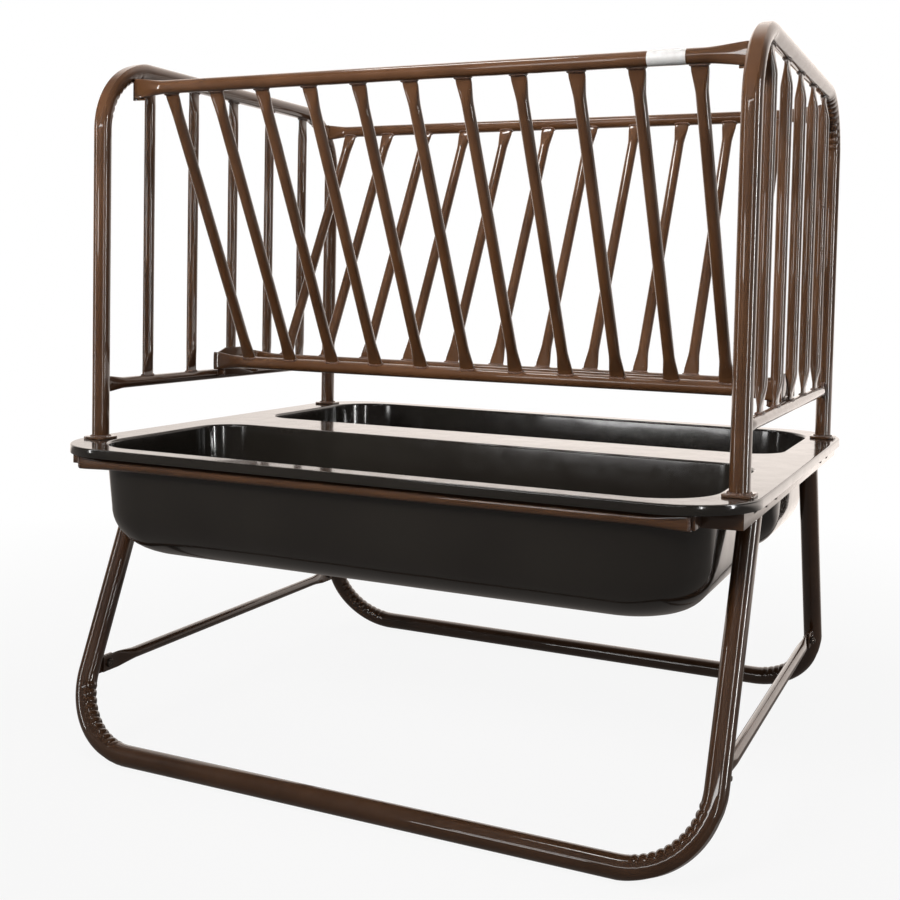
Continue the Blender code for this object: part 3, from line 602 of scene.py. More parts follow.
def bend_path(start, corner, end, radius, crimps):
    """A tube's centreline round one bend, as (point, inward, crimp height, flatness)."""
    back = (start - corner).normalized()
    on = (end - corner).normalized()
    opening = back.angle(on)
    centre = corner + (back + on).normalized() * radius / sin(opening / 2)
    first = (corner + back * radius / tan(opening / 2) - centre).normalized()
    turn = pi - opening
    forward = (-back - first * (-back).dot(first)).normalized()
    steps = round(crimps * CRIMP_STEPS / CRIMP_SHARE)
    path = []
    for k in range(steps + 1):
        turned = turn * k / steps
        out = first * cos(turned) + forward * sin(turned)
        flatness = min(1.0, k / steps / BEND_FLAT_FADE, (1 - k / steps) / BEND_FLAT_FADE)
        path.append((centre + out * radius, -out, crimp_height(turned, turn, crimps), flatness))
    return path


def u_tube(points, radius, bend_radius, crimps, level=None):
    """A tube bent into a U through four points, crimped on the inner side of its bends.
    A level cuts both ends at one height."""
    start, first, second, end = [Vector(p) for p in points]
    path = bend_path(start, first, second, bend_radius, crimps)
    path += bend_path(first, second, end, bend_radius, crimps)
    path.insert(0, (start, path[0][1], 0.0, 0.0))
    path.append((end, path[-1][1], 0.0, 0.0))
    normal = (first - start).normalized().cross(path[0][1]).normalized()
    rings = []
    for point, inward, crimp, flatness in path:
        outermost = -radius * (1 - flatness * (1 - cos(BEND_FLAT_ANGLE)))
        ring = []
        for angle in turns(TUBE_SIDES):
            size = radius + crimp * max(0.0, cos(angle)) ** CRIMP_FADE_POWER
            inner = max(size * cos(angle), outermost)
            ring.append(point + inward * inner + normal * size * sin(angle))
        rings.append(ring)
    if level is not None:
        for index, direction in ((0, first - start), (-1, second - end)):
            rings[index] = [p + direction * ((level - p.z) / direction.z) for p in rings[index]]
    return skin(rings)


def rounded_outline(half_x, y_low, y_high, corner_low, corner_high, z):
    """A rounded rectangle, counter-clockwise from above, with a corner radius for each long side."""
    middles = (
        (half_x - corner_low, y_low + corner_low, corner_low, -pi / 2),
        (half_x - corner_high, y_high - corner_high, corner_high, 0.0),
        (-half_x + corner_high, y_high - corner_high, corner_high, pi / 2),
        (-half_x + corner_low, y_low + corner_low, corner_low, pi),
    )
    points = []
    for cx, cy, corner, turn in middles:
        for angle in (turn + part for part in quarter_turn(CORNER_STEPS)):
            points.append(Vector((cx + corner * cos(angle), cy + corner * sin(angle), z)))
    return points


# Geometry Nodes trees

def new_tree(name, inputs):
    """An empty geometry tree with named inputs, and its input and output nodes."""
    tree = bpy.data.node_groups.new(name, "GeometryNodeTree")
    tree.interface.new_socket("Geometry", in_out="INPUT", socket_type="NodeSocketGeometry")
    for label, kind in inputs:
        tree.interface.new_socket(label, in_out="INPUT", socket_type=kind)
    tree.interface.new_socket("Geometry", in_out="OUTPUT", socket_type="NodeSocketGeometry")
    return tree, add(tree, "NodeGroupInput"), add(tree, "NodeGroupOutput")


def close_tree(tree, given, result, out):
    """Every tree ends alike: real geometry in its material."""
    real = add(tree, "GeometryNodeRealizeInstances", {"Geometry": result})
    painted = add(tree, "GeometryNodeSetMaterial", {
        "Geometry": real.outputs["Geometry"], "Material": given.outputs["Material"]})
    tree.links.new(painted.outputs["Geometry"], out.inputs["Geometry"])
    return tree


def grown(name, mesh, tree, values):
    """Runs a tree on a mesh with the inputs given by name, and keeps the result as a plain object."""
    made = link_mesh(name + "_start", mesh)
    modifier = made.modifiers.new("grow", "NODES")
    modifier.node_group = tree
    for item in tree.interface.items_tree:
        if item.in_out == "INPUT" and item.name in values:
            modifier[item.identifier] = values[item.name]
    return plain_copy(made, name)


def row_tree():
    """Repeats a piece in a straight row, such as the bars of a hay panel."""
    tree, given, out = new_tree("bar_row", (
        ("Count", "NodeSocketInt"), ("Step", "NodeSocketVector"), ("Material", "NodeSocketMaterial")))
    line = add(tree, "GeometryNodeMeshLine", {
        "Count": given.outputs["Count"], "Offset": given.outputs["Step"]}, mode="OFFSET")
    placed = add(tree, "GeometryNodeInstanceOnPoints", {
        "Points": line.outputs["Mesh"], "Instance": given.outputs["Geometry"]})
    return close_tree(tree, given, placed.outputs["Instances"], out)


def weld_tree():
    """Lays a bead of overlapping ripples along edges, as a welder's torch leaves them."""
    tree, given, out = new_tree("weld_bead", (
        ("Ripple Pitch", "NodeSocketFloat"), ("Ripple Size", "NodeSocketFloat"),
        ("Seed", "NodeSocketInt"), ("Material", "NodeSocketMaterial")))
    path = add(tree, "GeometryNodeMeshToCurve", {"Mesh": given.outputs["Geometry"]})
    spaced = add(tree, "GeometryNodeResampleCurve", {
        "Curve": path.outputs["Curve"], "Length": given.outputs["Ripple Pitch"]}, mode="LENGTH")
    ripple = add(tree, "GeometryNodeMeshUVSphere", {"Segments": RIPPLE_SIDES, "Rings": RIPPLE_RINGS})
    smooth_ripple = add(tree, "GeometryNodeSetShadeSmooth", {"Geometry": ripple.outputs["Mesh"]})
    turned = add(tree, "FunctionNodeAlignRotationToVector", {
        "Vector": add(tree, "GeometryNodeInputTangent").outputs["Tangent"]}, axis="X")
    vary = add(tree, "FunctionNodeRandomValue", {
        "Min": RIPPLE_LEAST, "Max": RIPPLE_MOST, "Seed": given.outputs["Seed"]}, data_type="FLOAT_VECTOR")
    size = add(tree, "ShaderNodeVectorMath", {
        0: vary.outputs["Value"], "Scale": given.outputs["Ripple Size"]}, operation="SCALE")
    placed = add(tree, "GeometryNodeInstanceOnPoints", {
        "Points": spaced.outputs["Curve"], "Instance": smooth_ripple.outputs["Geometry"],
        "Rotation": turned.outputs["Rotation"], "Scale": size.outputs["Vector"]})
    return close_tree(tree, given, placed.outputs["Instances"], out)


def bolt_tree():
    """Puts a bolt at each vertex; a vertex's turn says which way the bolt points."""
    tree, given, out = new_tree("bolt_set", (
        ("Bolt", "NodeSocketObject"), ("Material", "NodeSocketMaterial")))
    bolt = add(tree, "GeometryNodeObjectInfo", {"Object": given.outputs["Bolt"]})
    turn = add(tree, "GeometryNodeInputNamedAttribute", {"Name": "turn"}, data_type="FLOAT_VECTOR")
    placed = add(tree, "GeometryNodeInstanceOnPoints", {
        "Points": given.outputs["Geometry"], "Instance": bolt.outputs["Geometry"],
        "Rotation": turn.outputs["Attribute"]})
    return close_tree(tree, given, placed.outputs["Instances"], out)


ROW_TREE = row_tree()
WELD_TREE = weld_tree()
BOLT_TREE = bolt_tree()


def weld_piece(name, loops, seed):
    """One piece of weld bead along closed or open runs of points."""
    points, edges = [], []
    for run, closed in loops:
        start, count = len(points), len(run)
        points += [tuple(p) for p in run]
        edges += [(start + k, start + k + 1) for k in range(count - 1)]
        if closed:
            edges.append((start + count - 1, start))
    mesh = bpy.data.meshes.new(name)
    mesh.from_pydata(points, edges, [])
    made = grown(name, mesh, WELD_TREE, {
        "Ripple Pitch": RIPPLE_PITCH, "Ripple Size": RIPPLE_SIZE, "Seed": seed, "Material": WELD})
    settle(made, ())


def end_loop(tube_centre, tube_radius, out, wide):
    """Where a bar's pressed end meets a round tube: the bar's outline laid on the tube's surface."""
    tube_centre = Vector(tube_centre)
    thin = out.cross(wide)
    half_wide = pressed_width(BAR_DIAMETER, BAR_FLAT) / 2
    half_thin = BAR_FLAT / 2 + BEAD_PAST_BAR
    run = []
    for angle in turns(LOOP_POINTS):
        a, b = squarish(angle, BEAD_ROUNDNESS)
        drop = sqrt(tube_radius ** 2 - (b * half_thin) ** 2)
        run.append(tube_centre + wide * (a * half_wide) + thin * (b * half_thin) + out * drop)
    return run, True


def straight_run(start, end):
    start, end = Vector(start), Vector(end)
    steps = max(2, round((end - start).length / BEAD_POINT_STEP))
    return [start.lerp(end, k / steps) for k in range(steps + 1)], False


def level_round_run(centre, radius):
    centre = Vector(centre)
    across = Z_AXIS.orthogonal().normalized()
    over = Z_AXIS.cross(across)
    return [centre + across * radius * cos(a) + over * radius * sin(a)
            for a in turns(ROUND_POINTS)], True


# Basin

def basin_outline(inset, z):
    half_y = BASIN_HALF_Y - inset
    corner = BASIN_CORNER - inset
    return rounded_outline(BASIN_HALF_X - inset, -half_y, half_y, corner, corner, z)


def trough_outline(side, inset, tighter, z):
    half_x = TROUGH_HALF_X - inset
    outer = TROUGH_OUTER_Y - inset
    inner = WEB_WIDTH / 2 + TROUGH_EDGE_ROUNDING + inset
    outer_corner = TROUGH_CORNER_OUTER - tighter
    web_corner = TROUGH_CORNER_WEB - tighter
    if side < 0:
        return rounded_outline(half_x, -outer, -inner, outer_corner, web_corner, z)
    return rounded_outline(half_x, inner, outer, web_corner, outer_corner, z)


def trough_rows(side):
    """From the flat flange over the rounded edge, down the leaning wall and round to the bottom."""
    turn = TROUGH_EDGE_TURN
    edge = -turn - FLAT_BEFORE_ROUNDING
    rows = [trough_outline(side, edge, edge, FLANGE_Z)]
    for angle in quarter_turn(EDGE_STEPS):
        inset = turn * (sin(angle) - 1)
        drop = turn * (1 - cos(angle))
        rows.append(trough_outline(side, inset, inset, FLANGE_Z - drop))
    wall_end = TROUGH_DEPTH - TROUGH_BOTTOM_ROUNDING
    for share in WALL_SHARES:
        drop = turn + (wall_end - turn) * share
        inset = TROUGH_DRAFT * share
        rows.append(trough_outline(side, inset, inset * TROUGH_CORNER_SHARE, FLANGE_Z - drop))
    for angle in quarter_turn(BOTTOM_STEPS):
        inset = TROUGH_DRAFT + TROUGH_BOTTOM_ROUNDING * (1 - cos(angle))
        drop = wall_end + TROUGH_BOTTOM_ROUNDING * sin(angle)
        rows.append(trough_outline(side, inset, inset * TROUGH_CORNER_SHARE, FLANGE_Z - drop))
    return rows


def make_basin():
    """The moulding as one sheet from lip to trough bottoms, given its wall downwards and inwards."""
    bm = bmesh.new()

    def bridge(rows):
        made = [[bm.verts.new(p) for p in row] for row in rows]
        for upper, lower in zip(made, made[1:]):
            for k in range(len(upper)):
                after = (k + 1) % len(upper)
                bm.faces.new((upper[k], upper[after], lower[after], lower[k]))
        return made

    def rim_edges(row):
        return [bm.edges.get((a, b)) for a, b in zip(row, row[1:] + row[:1])]

    lip = [basin_outline(LIP_ROUNDING + FLAT_BEFORE_ROUNDING, FLANGE_Z)]
    for angle in quarter_turn(EDGE_STEPS):
        lip.append(basin_outline(
            LIP_ROUNDING * (1 - sin(angle)), FLANGE_Z - LIP_ROUNDING * (1 - cos(angle))))
    lip.append(basin_outline(0.0, LIP_BOTTOM + LIP_FOOT_CHAMFER[1]))
    lip.append(basin_outline(LIP_FOOT_CHAMFER[0], LIP_BOTTOM))
    edges = rim_edges(bridge(lip)[0])
    for side in (-1, 1):
        rows = bridge(trough_rows(side))
        bm.faces.new(rows[-1])
        edges += rim_edges(rows[0])
    bmesh.ops.triangle_fill(bm, use_beauty=True, edges=edges, normal=(0, 0, 1))
    bmesh.ops.recalc_face_normals(bm, faces=bm.faces)
    flat = max(bm.faces, key=lambda face: face.calc_center_median().z)
    if flat.normal.z < 0:
        bmesh.ops.reverse_faces(bm, faces=bm.faces)
    mesh = bpy.data.meshes.new("basin_moulding")
    bm.to_mesh(mesh)
    bm.free()
    start = link_mesh("basin_start", mesh)
    wall = start.modifiers.new("wall", "SOLIDIFY")
    wall.thickness = BASIN_WALL
    wall.offset = -1.0
    wall.use_even_offset = True
    made = plain_copy(start, "basin_moulding")
    smooth(made.data, CRISP_ABOVE_ON_BASIN)
    made.data.materials.append(POLY)
    settle(made, ("basin",))


# End frames

def hoop_underside(y):
    """Height of the underside of a hoop's top bar at a distance from the middle, bends included."""
    past = abs(y) - (UPRIGHT_Y - HOOP_BEND_RADIUS)
    if past <= 0:
        return TOP_BAR_Z - HOOP_RADIUS
    inner = HOOP_BEND_RADIUS - HOOP_RADIUS
    return TOP_BAR_Z - HOOP_RADIUS - inner + sqrt(inner ** 2 - past ** 2)


def make_hoop(word, end):
    x = end * FRAME_X
    foot_top = FLANGE_Z + SEAT_GAP + FOOT_PLATE_THICKNESS
    foot_z = foot_top - FOOT_PLATE_THICKNESS / 2
    path = [(-UPRIGHT_Y, foot_z), (-UPRIGHT_Y, TOP_BAR_Z), (UPRIGHT_Y, TOP_BAR_Z), (UPRIGHT_Y, foot_z)]
    shapes = [u_tube([(x, y, z) for y, z in path], HOOP_RADIUS, HOOP_BEND_RADIUS, CRIMP_COUNT_HOOP)]
    beads = []
    rail_half = pressed_width(RAIL_DIAMETER, RAIL_FLAT) / 2
    low = TOP_RAIL.z - rail_half - TAB_BELOW_RAIL
    high = TOP_RAIL.z + rail_half - WELD_BITE / 4
    face_x = end * TOP_RAIL_REACH
    outer = face_x + end * TAB_PAST_RAIL_END
    half = FOOT_PLATE_SIDE / 2
    outline = rounded_outline(
        half, -half, half, FOOT_PLATE_CORNER, FOOT_PLATE_CORNER, FLANGE_Z + SEAT_GAP)
    for side in (-1, 1):
        shift = Vector((x, side * UPRIGHT_Y, 0))
        shapes.append(plate([p + shift for p in outline], Z_AXIS * FOOT_PLATE_THICKNESS))
        beads.append(level_round_run((x, side * UPRIGHT_Y, foot_top), HOOP_RADIUS + BEAD_PAST_HOOP))
        near = side * (TOP_RAIL.y - RAIL_FLAT / 2 - SEAT_GAP)
        far = near - side * TAB_THICKNESS
        shapes.append(block((outer, near, low), (outer - end * TAB_WIDTH, far, high)))
        for edge_y in (near, far):
            beads.append(straight_run((face_x, edge_y, low + TAB_BELOW_RAIL), (face_x, edge_y, high)))
    piece(word + "_hoop", shapes, (word + "_end_hoop",))
    return beads


def make_cross_tube(word, end):
    x = end * FRAME_X
    reach = UPRIGHT_Y - HOOP_RADIUS - SEAT_GAP
    shapes = [pressed_tube((x, -reach, CROSS_TUBE_Z), (x, reach, CROSS_TUBE_Z), Z_AXIS, *BAR)]
    outer = FRAME_X - BAR_DIAMETER / 2 - 2 * SEAT_GAP
    inner = outer - BRACKET_THICKNESS
    half = BOTTOM_RAIL.y - RAIL_FLAT / 2 - SEAT_GAP
    low = CROSS_TUBE_Z - BRACKET_DROP
    rail_top = BOTTOM_RAIL.z + pressed_width(RAIL_DIAMETER, RAIL_FLAT) / 2
    middle_top = CROSS_TUBE_Z + BRACKET_RISE
    outline = [
        (-half, low), (half, low), (half, rail_top), (half - BRACKET_SHOULDER, middle_top),
        (-half + BRACKET_SHOULDER, middle_top), (-half, rail_top)]
    shapes.append(plate([(end * inner, y, z) for y, z in outline], X_AXIS * end * BRACKET_THICKNESS))
    shapes.append(block(
        (end * (outer - WELD_BITE / 4), -half, low + WELD_BITE / 4),
        (end * (FRAME_X - WELD_BITE), half, CROSS_TUBE_Z + BRACKET_DROP)))
    ear_x = end * (inner - BRACKET_EAR)
    ear_top = rail_top - WELD_BITE
    beads = []
    for side in (-1, 1):
        shapes.append(block(
            (end * (outer - WELD_BITE / 4), side * half, low + WELD_BITE),
            (ear_x, side * (half - BRACKET_THICKNESS), ear_top)))
        beads.append(end_loop((x, side * UPRIGHT_Y, CROSS_TUBE_Z), HOOP_RADIUS, -Y_AXIS * side, Z_AXIS))
        weld_y = side * (BOTTOM_RAIL.y - RAIL_FLAT / 2)
        beads.append(straight_run((ear_x, weld_y, low + WELD_BITE * 2), (ear_x, weld_y, ear_top)))
    weld_z = CROSS_TUBE_Z + BRACKET_BEAD_RISE
    beads.append(straight_run((end * outer, -half, weld_z), (end * outer, half, weld_z)))
    piece(word + "_cross_tube", shapes, (word + "_end_cross_tube",))
    return beads


def make_end_bars(word, end):
    x = end * FRAME_X
    beads = []
    for number in range(END_BAR_COUNT):
        node = f"{word}_end_bar_{number + 1}"
        low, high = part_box(node)
        y = (low.y + high.y) / 2
        shape = pressed_tube((x, y, low.z), (x, y, high.z), Y_AXIS, *BAR)
        piece(f"{word}_upright_bar_{number + 1}", [shape], (node,))
        beads.append(end_loop((x, y, CROSS_TUBE_Z), BAR_DIAMETER / 2, Z_AXIS, Y_AXIS))
        beads.append(end_loop((x, y, hoop_underside(y) + HOOP_RADIUS), HOOP_RADIUS, -Z_AXIS, Y_AXIS))
    return beads


# Hay panels

def make_panel(word, side):
    top = Vector((0, side * TOP_RAIL.y, TOP_RAIL.z))
    bottom = Vector((0, side * BOTTOM_RAIL.y, BOTTOM_RAIL.z))
    for level, middle, reach in (("top", top, TOP_RAIL_REACH), ("bottom", bottom, BOTTOM_RAIL_REACH)):
        shape = pressed_tube(
            middle - X_AXIS * reach, middle + X_AXIS * reach, Z_AXIS, RAIL_DIAMETER, RAIL_FLAT,
            RAIL_FLAT_LENGTH, RAIL_FLARE_LENGTH, TUBE_SIDES)
        piece(f"{word}_{level}_rail_tube", [shape], (f"{word}_{level}_rail",))
    slope = (top - bottom).normalized()
    seat = slope * (RAIL_RADIUS + SEAT_GAP)
    first = X_AXIS * BAR_XS[0]
    shape = pressed_tube(bottom + seat + first, top - seat + first, X_AXIS, *BAR)
    pitch = (BAR_XS[-1] - BAR_XS[0]) / (PANEL_BAR_COUNT - 1)
    name = word + "_panel_bars"
    bars = grown(name, smooth(raw_mesh(name, [shape])), ROW_TREE, {
        "Count": PANEL_BAR_COUNT, "Step": (pitch, 0.0, 0.0), "Material": COAT})
    settle(bars, [f"{word}_panel_bar_{n + 1:02d}" for n in range(PANEL_BAR_COUNT)])
    beads = []
    for x in BAR_XS:
        beads.append(end_loop(bottom + X_AXIS * x, RAIL_RADIUS, slope, X_AXIS))
        beads.append(end_loop(top + X_AXIS * x, RAIL_RADIUS, -slope, X_AXIS))
    return beads


# Basin frame

def make_basin_frame():
    thick = ANGLE_THICKNESS
    top = LIP_BOTTOM - SEAT_GAP
    shapes, beads = [], []
    outer = ANGLE_X
    inner = outer - ANGLE_DEPTH
    half = ANGLE_SHELF_LENGTH / 2
    middle = (ANGLE_BOTTOM + top) / 2
    web = [
        (outer, -ANGLE_Y), (outer, ANGLE_Y), (WING_END_X, WING_END_Y), (WING_END_X, WING_END_Y - thick),
        (outer - thick, ANGLE_Y - thick), (outer - thick, -ANGLE_Y + thick),
        (WING_END_X, -WING_END_Y + thick), (WING_END_X, -WING_END_Y)]
    profile = [
        (outer, middle), (outer, ANGLE_TOP), (inner, ANGLE_TOP), (inner, ANGLE_TOP - thick),
        (outer - thick, ANGLE_TOP - thick), (outer - thick, middle)]
    for end in (-1, 1):
        shapes.append(plate([(end * x, y, ANGLE_BOTTOM) for x, y in web], Z_AXIS * (top - ANGLE_BOTTOM)))
        shapes.append(plate([(end * x, -half, z) for x, z in profile], Y_AXIS * half * 2))
    reach = BASIN_RAIL_LENGTH / 2
    half_height = BASIN_RAIL_DIAMETER / 2
    rise = half_height * RAIL_BEAD_SHARE
    for side in (-1, 1):
        y = side * BASIN_RAIL_Y
        shapes.append(pressed_tube(
            (-reach, y, BASIN_RAIL_Z), (reach, y, BASIN_RAIL_Z), Z_AXIS, BASIN_RAIL_DIAMETER,
            BASIN_RAIL_FLAT, RAIL_FLAT_LENGTH, RAIL_FLARE_LENGTH))
        near = side * (WING_END_Y - thick / 2)
        weld_y = y + side * BASIN_RAIL_FLAT * RAIL_BEAD_OUT
        for end in (-1, 1):
            weld_x = end * (reach - RAIL_END_PLATE / 2)
            shapes.append(block(
                (weld_x, near, BASIN_RAIL_Z - half_height),
                (end * (WING_END_X + RAIL_END_PLATE), y, ANGLE_TOP)))
            beads.append(straight_run(
                (weld_x, weld_y, BASIN_RAIL_Z - rise), (weld_x, weld_y, BASIN_RAIL_Z + rise)))
    piece("basin_support", shapes, ("basin_frame",))
    return beads


# Leg frames, braces and bolts

def leg_point(height):
    share = (height - LEG_RADIUS) / (LEG_TOP_Z - LEG_RADIUS)
    x = LEG_FLOOR_X + (LEG_TOP_X - LEG_FLOOR_X) * share
    return x, LEG_FLOOR_Y + (LEG_TOP_Y - LEG_FLOOR_Y) * share


LEG_BOLT_Y = (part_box("back_right_leg_bolt_1")[0].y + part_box("back_right_leg_bolt_2")[1].y) / 2
LUG_BOLT_Y = middle_of("back_right_brace_bolt").y
BRACE_X = leg_point(BRACE_HEIGHT)[0] - LUG_THICKNESS / 2 - SEAT_GAP - BRACE_FLAT / 2


def make_leg_frame(word, side):
    top = LEG_TOP_Z + LEG_RADIUS
    top_x, top_y = leg_point(top)
    path = [
        (-top_x, top_y, top), (-LEG_FLOOR_X, LEG_FLOOR_Y, LEG_RADIUS),
        (LEG_FLOOR_X, LEG_FLOOR_Y, LEG_RADIUS), (top_x, top_y, top)]
    shapes = [u_tube(
        [(x, side * y, z) for x, y, z in path], LEG_RADIUS, LEG_BEND_RADIUS, CRIMP_COUNT_LEG, LEG_TOP_Z)]
    beads = []
    bolt_y = side * LEG_BOLT_Y
    lug_x, leg_y = leg_point(BRACE_HEIGHT)
    lug_end = LUG_BOLT_Y - LUG_BOLT_FROM_END
    face_y = leg_y - LEG_RADIUS / cos(LEG_LEAN)
    half = BOLT_PLATE_LENGTH / 2
    inner = BOLT_PLATE_FACE - BOLT_PLATE_THICKNESS
    plate_bottom = LEG_TOP_Z - BOLT_PLATE_HEIGHT
    tilt = side * tan(LEG_LEAN)
    lean = Vector((0, -tilt, 1)) * LUG_HEIGHT * LUG_BEAD_SHARE
    drift = tilt * PLATE_BEAD_LEAN
    for end in (-1, 1):
        shapes.append(block(
            (end * inner, bolt_y - half, plate_bottom), (end * BOLT_PLATE_FACE, bolt_y + half, LEG_TOP_Z)))
        shapes.append(block(
            (end * lug_x - LUG_THICKNESS / 2, side * lug_end, BRACE_HEIGHT - LUG_HEIGHT / 2),
            (end * lug_x + LUG_THICKNESS / 2, side * leg_y, BRACE_HEIGHT + LUG_HEIGHT / 2)))
        for offset in (-1, 1):
            start = Vector((end * lug_x + offset * LUG_THICKNESS / 2, side * face_y, BRACE_HEIGHT))
            beads.append(straight_run(start - lean, start + lean))
            y = bolt_y + offset * LEG_RADIUS * PLATE_BEAD_ASIDE
            beads.append(straight_run(
                (end * inner, y + drift, plate_bottom + BEAD_FROM_EDGE),
                (end * inner, y - drift, LEG_TOP_Z - BEAD_FROM_EDGE)))
    piece(word + "_legs", shapes, (word + "_leg_frame",))
    return beads


def make_brace(word, end):
    reach = LUG_BOLT_Y + BRACE_END_MARGIN
    x = end * BRACE_X
    shape = pressed_tube(
        (x, -reach, BRACE_HEIGHT), (x, reach, BRACE_HEIGHT), Z_AXIS, BRACE_DIAMETER, BRACE_FLAT,
        BRACE_FLAT_LENGTH, BRACE_FLARE_LENGTH)
    piece(word + "_brace_tube", [shape], (word + "_brace",))


def turned_ring(x, sizes):
    """A ring of points round the bolt's axis, with the distance from the axis given for each."""
    return [Vector((x, r * cos(a), r * sin(a))) for a, r in zip(turns(BOLT_SIDES), sizes)]


def hexagon_ring(x, limit):
    """A hexagon, cut off where it would reach past a round limit."""
    within = [a % (pi / 3) - pi / 6 for a in turns(BOLT_SIDES)]
    return turned_ring(x, [min(BOLT_HEAD_ACROSS / 2 / cos(a), limit) for a in within])


def bolt_shape():
    """A bolt along +X with its head's seat at X = 0: chamfered head, shank, nut and a stub of thread."""
    corner = BOLT_HEAD_ACROSS / 2 / cos(pi / 6)
    flat = BOLT_HEAD_ACROSS / 2 * CHAMFERED_FACE
    shank = BOLT_DIAMETER / 2
    head = -SEAT_GAP - BOLT_HEAD_HEIGHT
    nut = BOLT_GRIP + SEAT_GAP
    nut_end = nut + NUT_HEIGHT
    end = nut_end + BOLT_END
    head_rings = [(head, flat), (head + BOLT_CHAMFER, corner), (-SEAT_GAP, corner)]
    nut_rings = [
        (nut, flat), (nut + BOLT_CHAMFER, corner), (nut_end - BOLT_CHAMFER, corner), (nut_end, flat)]
    shank_rings = [(-SEAT_GAP * 2, shank), (nut_end - BOLT_CHAMFER, shank)]
    x = nut_end
    while x < end - THREAD_PITCH:
        shank_rings += [(x, shank - THREAD_DEPTH), (x + THREAD_PITCH / 2, shank)]
        x += THREAD_PITCH
    shank_rings += [(end - THREAD_END_CHAMFER, shank - THREAD_DEPTH / 2), (end, shank - THREAD_END_CUT)]
    return [
        skin([hexagon_ring(x, limit) for x, limit in head_rings]),
        skin([hexagon_ring(x, limit) for x, limit in nut_rings]),
        skin([turned_ring(x, [radius] * BOLT_SIDES) for x, radius in shank_rings])]


def make_bolts():
    """The bolts that hold the legs to the basin frame, and the braces to the legs."""
    mesh = smooth(raw_mesh("bolt_pattern", bolt_shape()), CRISP_ABOVE_ON_BOLTS)
    bolt = link_mesh("bolt_pattern", mesh)
    spots = {"leg_bolts": [], "brace_bolts": []}
    for end_word, end in ENDS:
        inward, outward = (pi, 0.0) if end > 0 else (0.0, pi)
        for side_word, _ in SIDES:
            for number in (1, 2):
                node = f"{side_word}_{end_word}_leg_bolt_{number}"
                spots["leg_bolts"].append((node, end * ANGLE_X, inward))
            node = f"{side_word}_{end_word}_brace_bolt"
            spots["brace_bolts"].append((node, end * (BRACE_X - BRACE_FLAT / 2), outward))
    for name, bolts in spots.items():
        middles = [middle_of(node) for node, _, _ in bolts]
        mesh = bpy.data.meshes.new(name)
        mesh.from_pydata([(x, middle.y, middle.z) for (_, x, _), middle in zip(bolts, middles)], [], [])
        turn = mesh.attributes.new("turn", "FLOAT_VECTOR", "POINT")
        turn.data.foreach_set("vector", [part for _, _, angle in bolts for part in (0.0, 0.0, angle)])
        made = grown(name, mesh, BOLT_TREE, {"Bolt": bolt, "Material": ZINC})
        settle(made, [node for node, _, _ in bolts])
    bpy.data.objects.remove(bolt, do_unlink=True)


def make_sticker():
    """A bare white sticker wrapped round the outer face of the front top rail."""
    centre = Vector((0, -TOP_RAIL.y, TOP_RAIL.z))
    angles = [STICKER_HALF_ANGLE * (2 * r / STICKER_ROWS - 1) for r in range(STICKER_ROWS + 1)]
    around = [(RAIL_RADIUS + STICKER_THICKNESS, angle) for angle in angles]
    around += [(RAIL_RADIUS - STICKER_IN_COAT, angle) for angle in reversed(angles)]
    rings = []
    for c in range(STICKER_COLUMNS + 1):
        x = STICKER_LEFT + (STICKER_RIGHT - STICKER_LEFT) * c / STICKER_COLUMNS
        rings.append([centre + Vector((x, -r * cos(a), r * sin(a))) for r, a in around])
    piece("bare_sticker", [skin(rings)], material=VINYL)


# The object
make_basin()
weld_piece("basin_support_welds", make_basin_frame(), 3)
for seed, (word, end) in enumerate(ENDS, 10):
    beads = make_hoop(word, end) + make_cross_tube(word, end) + make_end_bars(word, end)
    weld_piece(word + "_end_welds", beads, seed)
    make_brace(word, end)
for seed, (word, side) in enumerate(SIDES, 20):
    weld_piece(word + "_panel_welds", make_panel(word, side), seed)
    weld_piece(word + "_leg_welds", make_leg_frame(word, side), seed + 10)
make_bolts()
make_sticker()


# Floor, light and camera
FLOOR_REACH = 14.0
ROOM_LIGHT = 0.26
# How bright each side of the room is in the feeder's reflections
ROOM_SHINE = 0.05
CEILING_SHINE = 0.10
WALL_SHINE = 1.42
LEFT_WALL_SHINE = 1.16
RIGHT_WALL_SHINE = 0.20
FLOOR_SHINE = 0.18
PAPER, PAPER_IN_BOUNCES = "#c9c6c4", "#6f6c6a"
WHITE, WARM_WHITE = "#ffffff", "#fff4ec"


